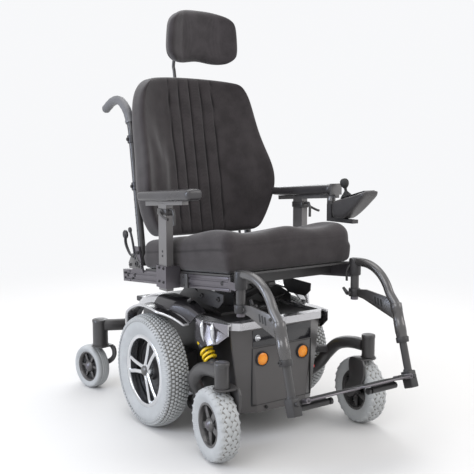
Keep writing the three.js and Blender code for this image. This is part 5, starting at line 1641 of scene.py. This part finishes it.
def buildLegrest(side, sign):
    body = "legrest_" + side
    x = sign * legrest["x"]
    bm = bmesh.new()
    route = [spot(x, -380, 528.5), spot(x, -408, 530), spot(x, -438, 527), spot(x, -466, 517),
             spot(x, -491, 500),
             spot(x, -511, 477), spot(x, -526, 451), lowerAt(196, sign), lowerAt(180, sign)]
    addTube(bm, smoothPath(route, 7), 0.0130, 28)
    bands = [(92, 0.0158), (112, 0.0158), (113, 0.0166), (146, 0.0166), (147, 0.0160), (176, 0.0160),
             (177, 0.0168),
             (198, 0.0168), (200, 0.0150)]
    addTube(bm, [lowerAt(up, sign) for up, r in bands], [r for up, r in bands], 32)
    finishPiece("legrestHanger" + side.title(), bm, greyPaint, body, ["legrest_hanger_" + side],
                smooth=48)
    post = bmesh.new()
    addLathe(post, [(0.0130, 0.488), (0.0172, 0.488), (0.0182, 0.490), (0.0182, 0.534), (0.0165, 0.5385),
                    (0.009, 0.5405),
                    (0, 0.5405), (0, 0.526), (0.0130, 0.526)], spot(x, -378, 0), (0, 0, 1), 36)
    addLathe(post, [(0.0130, 0.422), (0.0170, 0.422), (0.0182, 0.4235), (0.0182, 0.4445), (0.0170, 0.446),
                    (0.0130, 0.446)], spot(x, -378, 0), (0, 0, 1), 36)
    finishPiece("legrestKnuckle" + side.title(), post, darkCast, body, smooth=42)
    inner = bmesh.new()
    addTube(inner, [spot(x, -378, 446), spot(x, -378, 488)], 0.0128, 24)
    finishPiece("hingePost" + side.title(), inner, blackPaint, body, smooth=42)

    # the slotted stay between the hinge and the bent tube
    stay = bmesh.new()
    first, second = lowerAt(190, sign), lowerAt(136, sign)
    outline = [spot(x - 3, -376, 444), spot(x - 3, -430, 450),
               Vector(((x - 3) / 1000, first.y, first.z + 0.018)),
               Vector(((x - 3) / 1000, second.y, second.z + 0.006)), spot(x - 3, -480, 400),
               spot(x - 3, -420, 419),
               spot(x - 3, -376, 425)]
    addPlate(stay, outline, (0.006, 0, 0), 0.0012, 2)
    for y, z in ((-398, 434), (-516, 428)):
        addBolt(stay, spot(x + sign * 3, y, z), (sign, 0, 0), 0.0050, 0.0035)
    finishPiece("legrestStay" + side.title(), stay, greyPaint, body, smooth=42)
    # painted shade: thin black plates on both faces of the stay stand for the shade in its slots
    slotShade = bmesh.new()
    for y, z, lean in ((-470, 424, 1.35), (-482, 422, 1.35), (-494, 420, 1.35)):
        for face in (-1, 1):
            centre = spot(x + face * 3.05, y, z)
            addBox(slotShade, centre - Vector((0.0003, 0.011, 0.0036)), centre + Vector((0.0003, 0.011, 0.0036)),
                   0.0002, 1,
                   turn=Matrix.Rotation(lean, 3, "X"))
    finishPiece("staySlotShade" + side.title(), slotShade, rubberBlack, body, smooth=42)

    latch = bmesh.new()
    inward = -sign
    addTube(latch, smoothPath([spot(x, -378, 433), spot(x + inward * 22, -380, 432),
                               spot(x + inward * 36, -384, 436)], 5),
            0.0048, 14)
    for away in (-1, 1):
        addTube(latch, [spot(x + inward * 36, -384, 436),
                        spot(x + inward * 40, -384 + 14 * away, 446 + 6 * away)],
                [0.0062, 0.0040], 14)
    addTube(latch, smoothPath([spot(x + inward * 15, -372, 520), spot(x + inward * 22, -366, 500),
                               spot(x + inward * 20, -364, 470)], 5), 0.0036, 12)
    finishPiece("legrestLatch" + side.title(), latch, blackPlastic, body, smooth=45)

    extension = "legrest_extension_" + side
    tube = bmesh.new()
    addTube(tube, [lowerAt(0, sign), lowerAt(158, sign)], 0.0110, 28)
    finishPiece("legrestTube" + side.title(), tube, blackPaint, extension,
                ["legrest_tube_" + side],
                smooth=45)
    sleeve = bmesh.new()
    axis = (lowerAt(100, sign) - lowerAt(0, sign)).normalized()
    addLathe(sleeve, [(0.0112, -0.002), (0.0175, -0.002), (0.0182, 0), (0.0182, 0.012), (0.0172, 0.014),
                      (0.0112, 0.014)], lowerAt(92, sign) - axis * 0.004, axis, 32)
    addBolt(sleeve, lowerAt(97, sign) + Vector((sign * 0.0172, 0, 0)), (sign, 0, 0), 0.0060, 0.005)
    finishPiece("sleeveCollar" + side.title(), sleeve, blackPlastic, body, smooth=42)

    toe = Vector((0, -math.cos(math.radians(20)), math.sin(math.radians(20))))
    rise = Vector((0, math.sin(math.radians(20)), math.cos(math.radians(20))))
    base = spot(x, -621, 232)
    basis = Matrix(((sign, 0, 0), tuple(-toe), tuple(rise))).transposed().to_4x4()
    onFoot = Matrix.Translation(base) @ basis

    block = bmesh.new()
    addBox(block, (-0.014, -0.001, -0.034), (0.014, 0.033, 0.014), 0.0035, 3)
    addBox(block, (-0.026, 0.004, -0.007), (-0.013, 0.028, 0.007), 0.0015, 2)
    addTube(block, [Vector((-0.026, -0.019, 0)), Vector((-0.026, 0.049, 0))], 0.0040, 16)
    addLathe(block, [(0, -0.018), (0.0052, -0.018), (0.0062, -0.0165), (0.0062, 0.004), (0, 0.004)],
             Vector((0, 0.010, -0.002)), (0, 1, 0), 20)
    addTube(block, [Vector((0.0, 0.016, 0.012)), Vector((0.0, 0.016, 0.020))], [0.0135, 0.0120], 28)
    bmesh.ops.transform(block, matrix=onFoot, verts=block.verts)
    finishPiece("footBlock" + side.title(), block, blackPlastic, extension, smooth=42)

    body = "footrest_" + side
    plate = bmesh.new()
    addBox(plate, (-0.206, -0.020, -0.0025), (-0.031, 0.075, 0.0025), 0.0018, 2)
    for a, b in ((-0.019, 0.0032), (0.0288, 0.049)):
        addTube(plate, [Vector((-0.026, a, 0)), Vector((-0.026, b, 0))], 0.0070, 20)
    bmesh.ops.transform(plate, matrix=onFoot, verts=plate.verts)
    finishPiece("footplate" + side.title(), plate, darkAnodised, body, ["footplate_" + side],
                smooth=42)
    ribs = bmesh.new()
    for step in range(11):
        y = -0.012 + 0.008 * step
        addBox(ribs, (-0.200, y - 0.0012, 0.0022), (-0.037, y + 0.0012, 0.0036), 0.0005, 1)
    bmesh.ops.transform(ribs, matrix=onFoot, verts=ribs.verts)
    finishPiece("footplateTread" + side.title(), ribs, rubberBlack, body, smooth=42)
    bar = bmesh.new()
    addTube(bar, [Vector((-0.038, 0.039, -0.017)), Vector((-0.133, 0.039, -0.017))], 0.0090, 24)
    addTube(bar, [Vector((-t, 0.039, -0.017)) for t in (0.1325, 0.139)], 0.0040, 16)
    knob = [Vector((-t, 0.039, -0.017)) for t in (0.1385, 0.1395, 0.1470, 0.1480)]
    addTube(bar, knob, [0.0075, 0.0092, 0.0092, 0.0075], 24)
    addBox(bar, (-0.128, 0.035, -0.013), (-0.041, 0.043, 0.0), 0.0010, 1)
    bmesh.ops.transform(bar, matrix=onFoot, verts=bar.verts)
    finishPiece("footplateBar" + side.title(), bar, blackPlastic, body, smooth=42)


for sideName, sideSign in sides.items():
    buildLegrest(sideName, sideSign)
print("legrests are ready")

# ---- small levers under the seat


def buildLevers():
    bm = bmesh.new()
    for sign in (1, -1):
        addTube(bm, smoothPath([spot(sign * 150, -60, 372), spot(sign * 182, -70, 384),
                                spot(sign * 204, -86, 402),
                                spot(sign * 210, -104, 412)], 5), 0.0038, 12)
        addTube(bm, [spot(sign * 209, -98, 409), spot(sign * 213, -124, 420)], [0.0058, 0.0050], 14)
    finishPiece("freewheelLevers", bm, blackPaint, "chassis", smooth=45)
    for side, sign in sides.items():
        tip = bmesh.new()
        addTube(tip, [spot(sign * 178, -166, 128), spot(sign * 176, -214, 166)], [0.0052, 0.0050], 14)
        addTube(tip, [spot(sign * 176, -214, 166), spot(sign * 175, -236, 176)], [0.0066, 0.0048], 14)
        finishPiece("brakeTab" + side.title(), tip, redPlastic, "suspension_arm_" + side,
                    smooth=45)


def buildTiltBracket(side, sign):
    plate = bmesh.new()
    outline = [spot(sign * 166, y, z) for y,
               z in ((-226, 444), (-80, 450), (-92, 412), (-118, 399), (-200, 399),
                                                    (-224, 420))]
    addPlate(plate, outline, (sign * 0.004, 0, 0), 0.001, 2)
    for y, z in ((-112, 424), (-202, 426)):
        addBolt(plate, spot(sign * 170.2, y, z), (sign, 0, 0), 0.008, 0.005)
    finishPiece("tiltBracket" + side.title(), plate, blackPlastic, "chassis", smooth=35)


buildLevers()
for side, sign in sides.items():
    buildTiltBracket(side, sign)
print("small levers are ready")
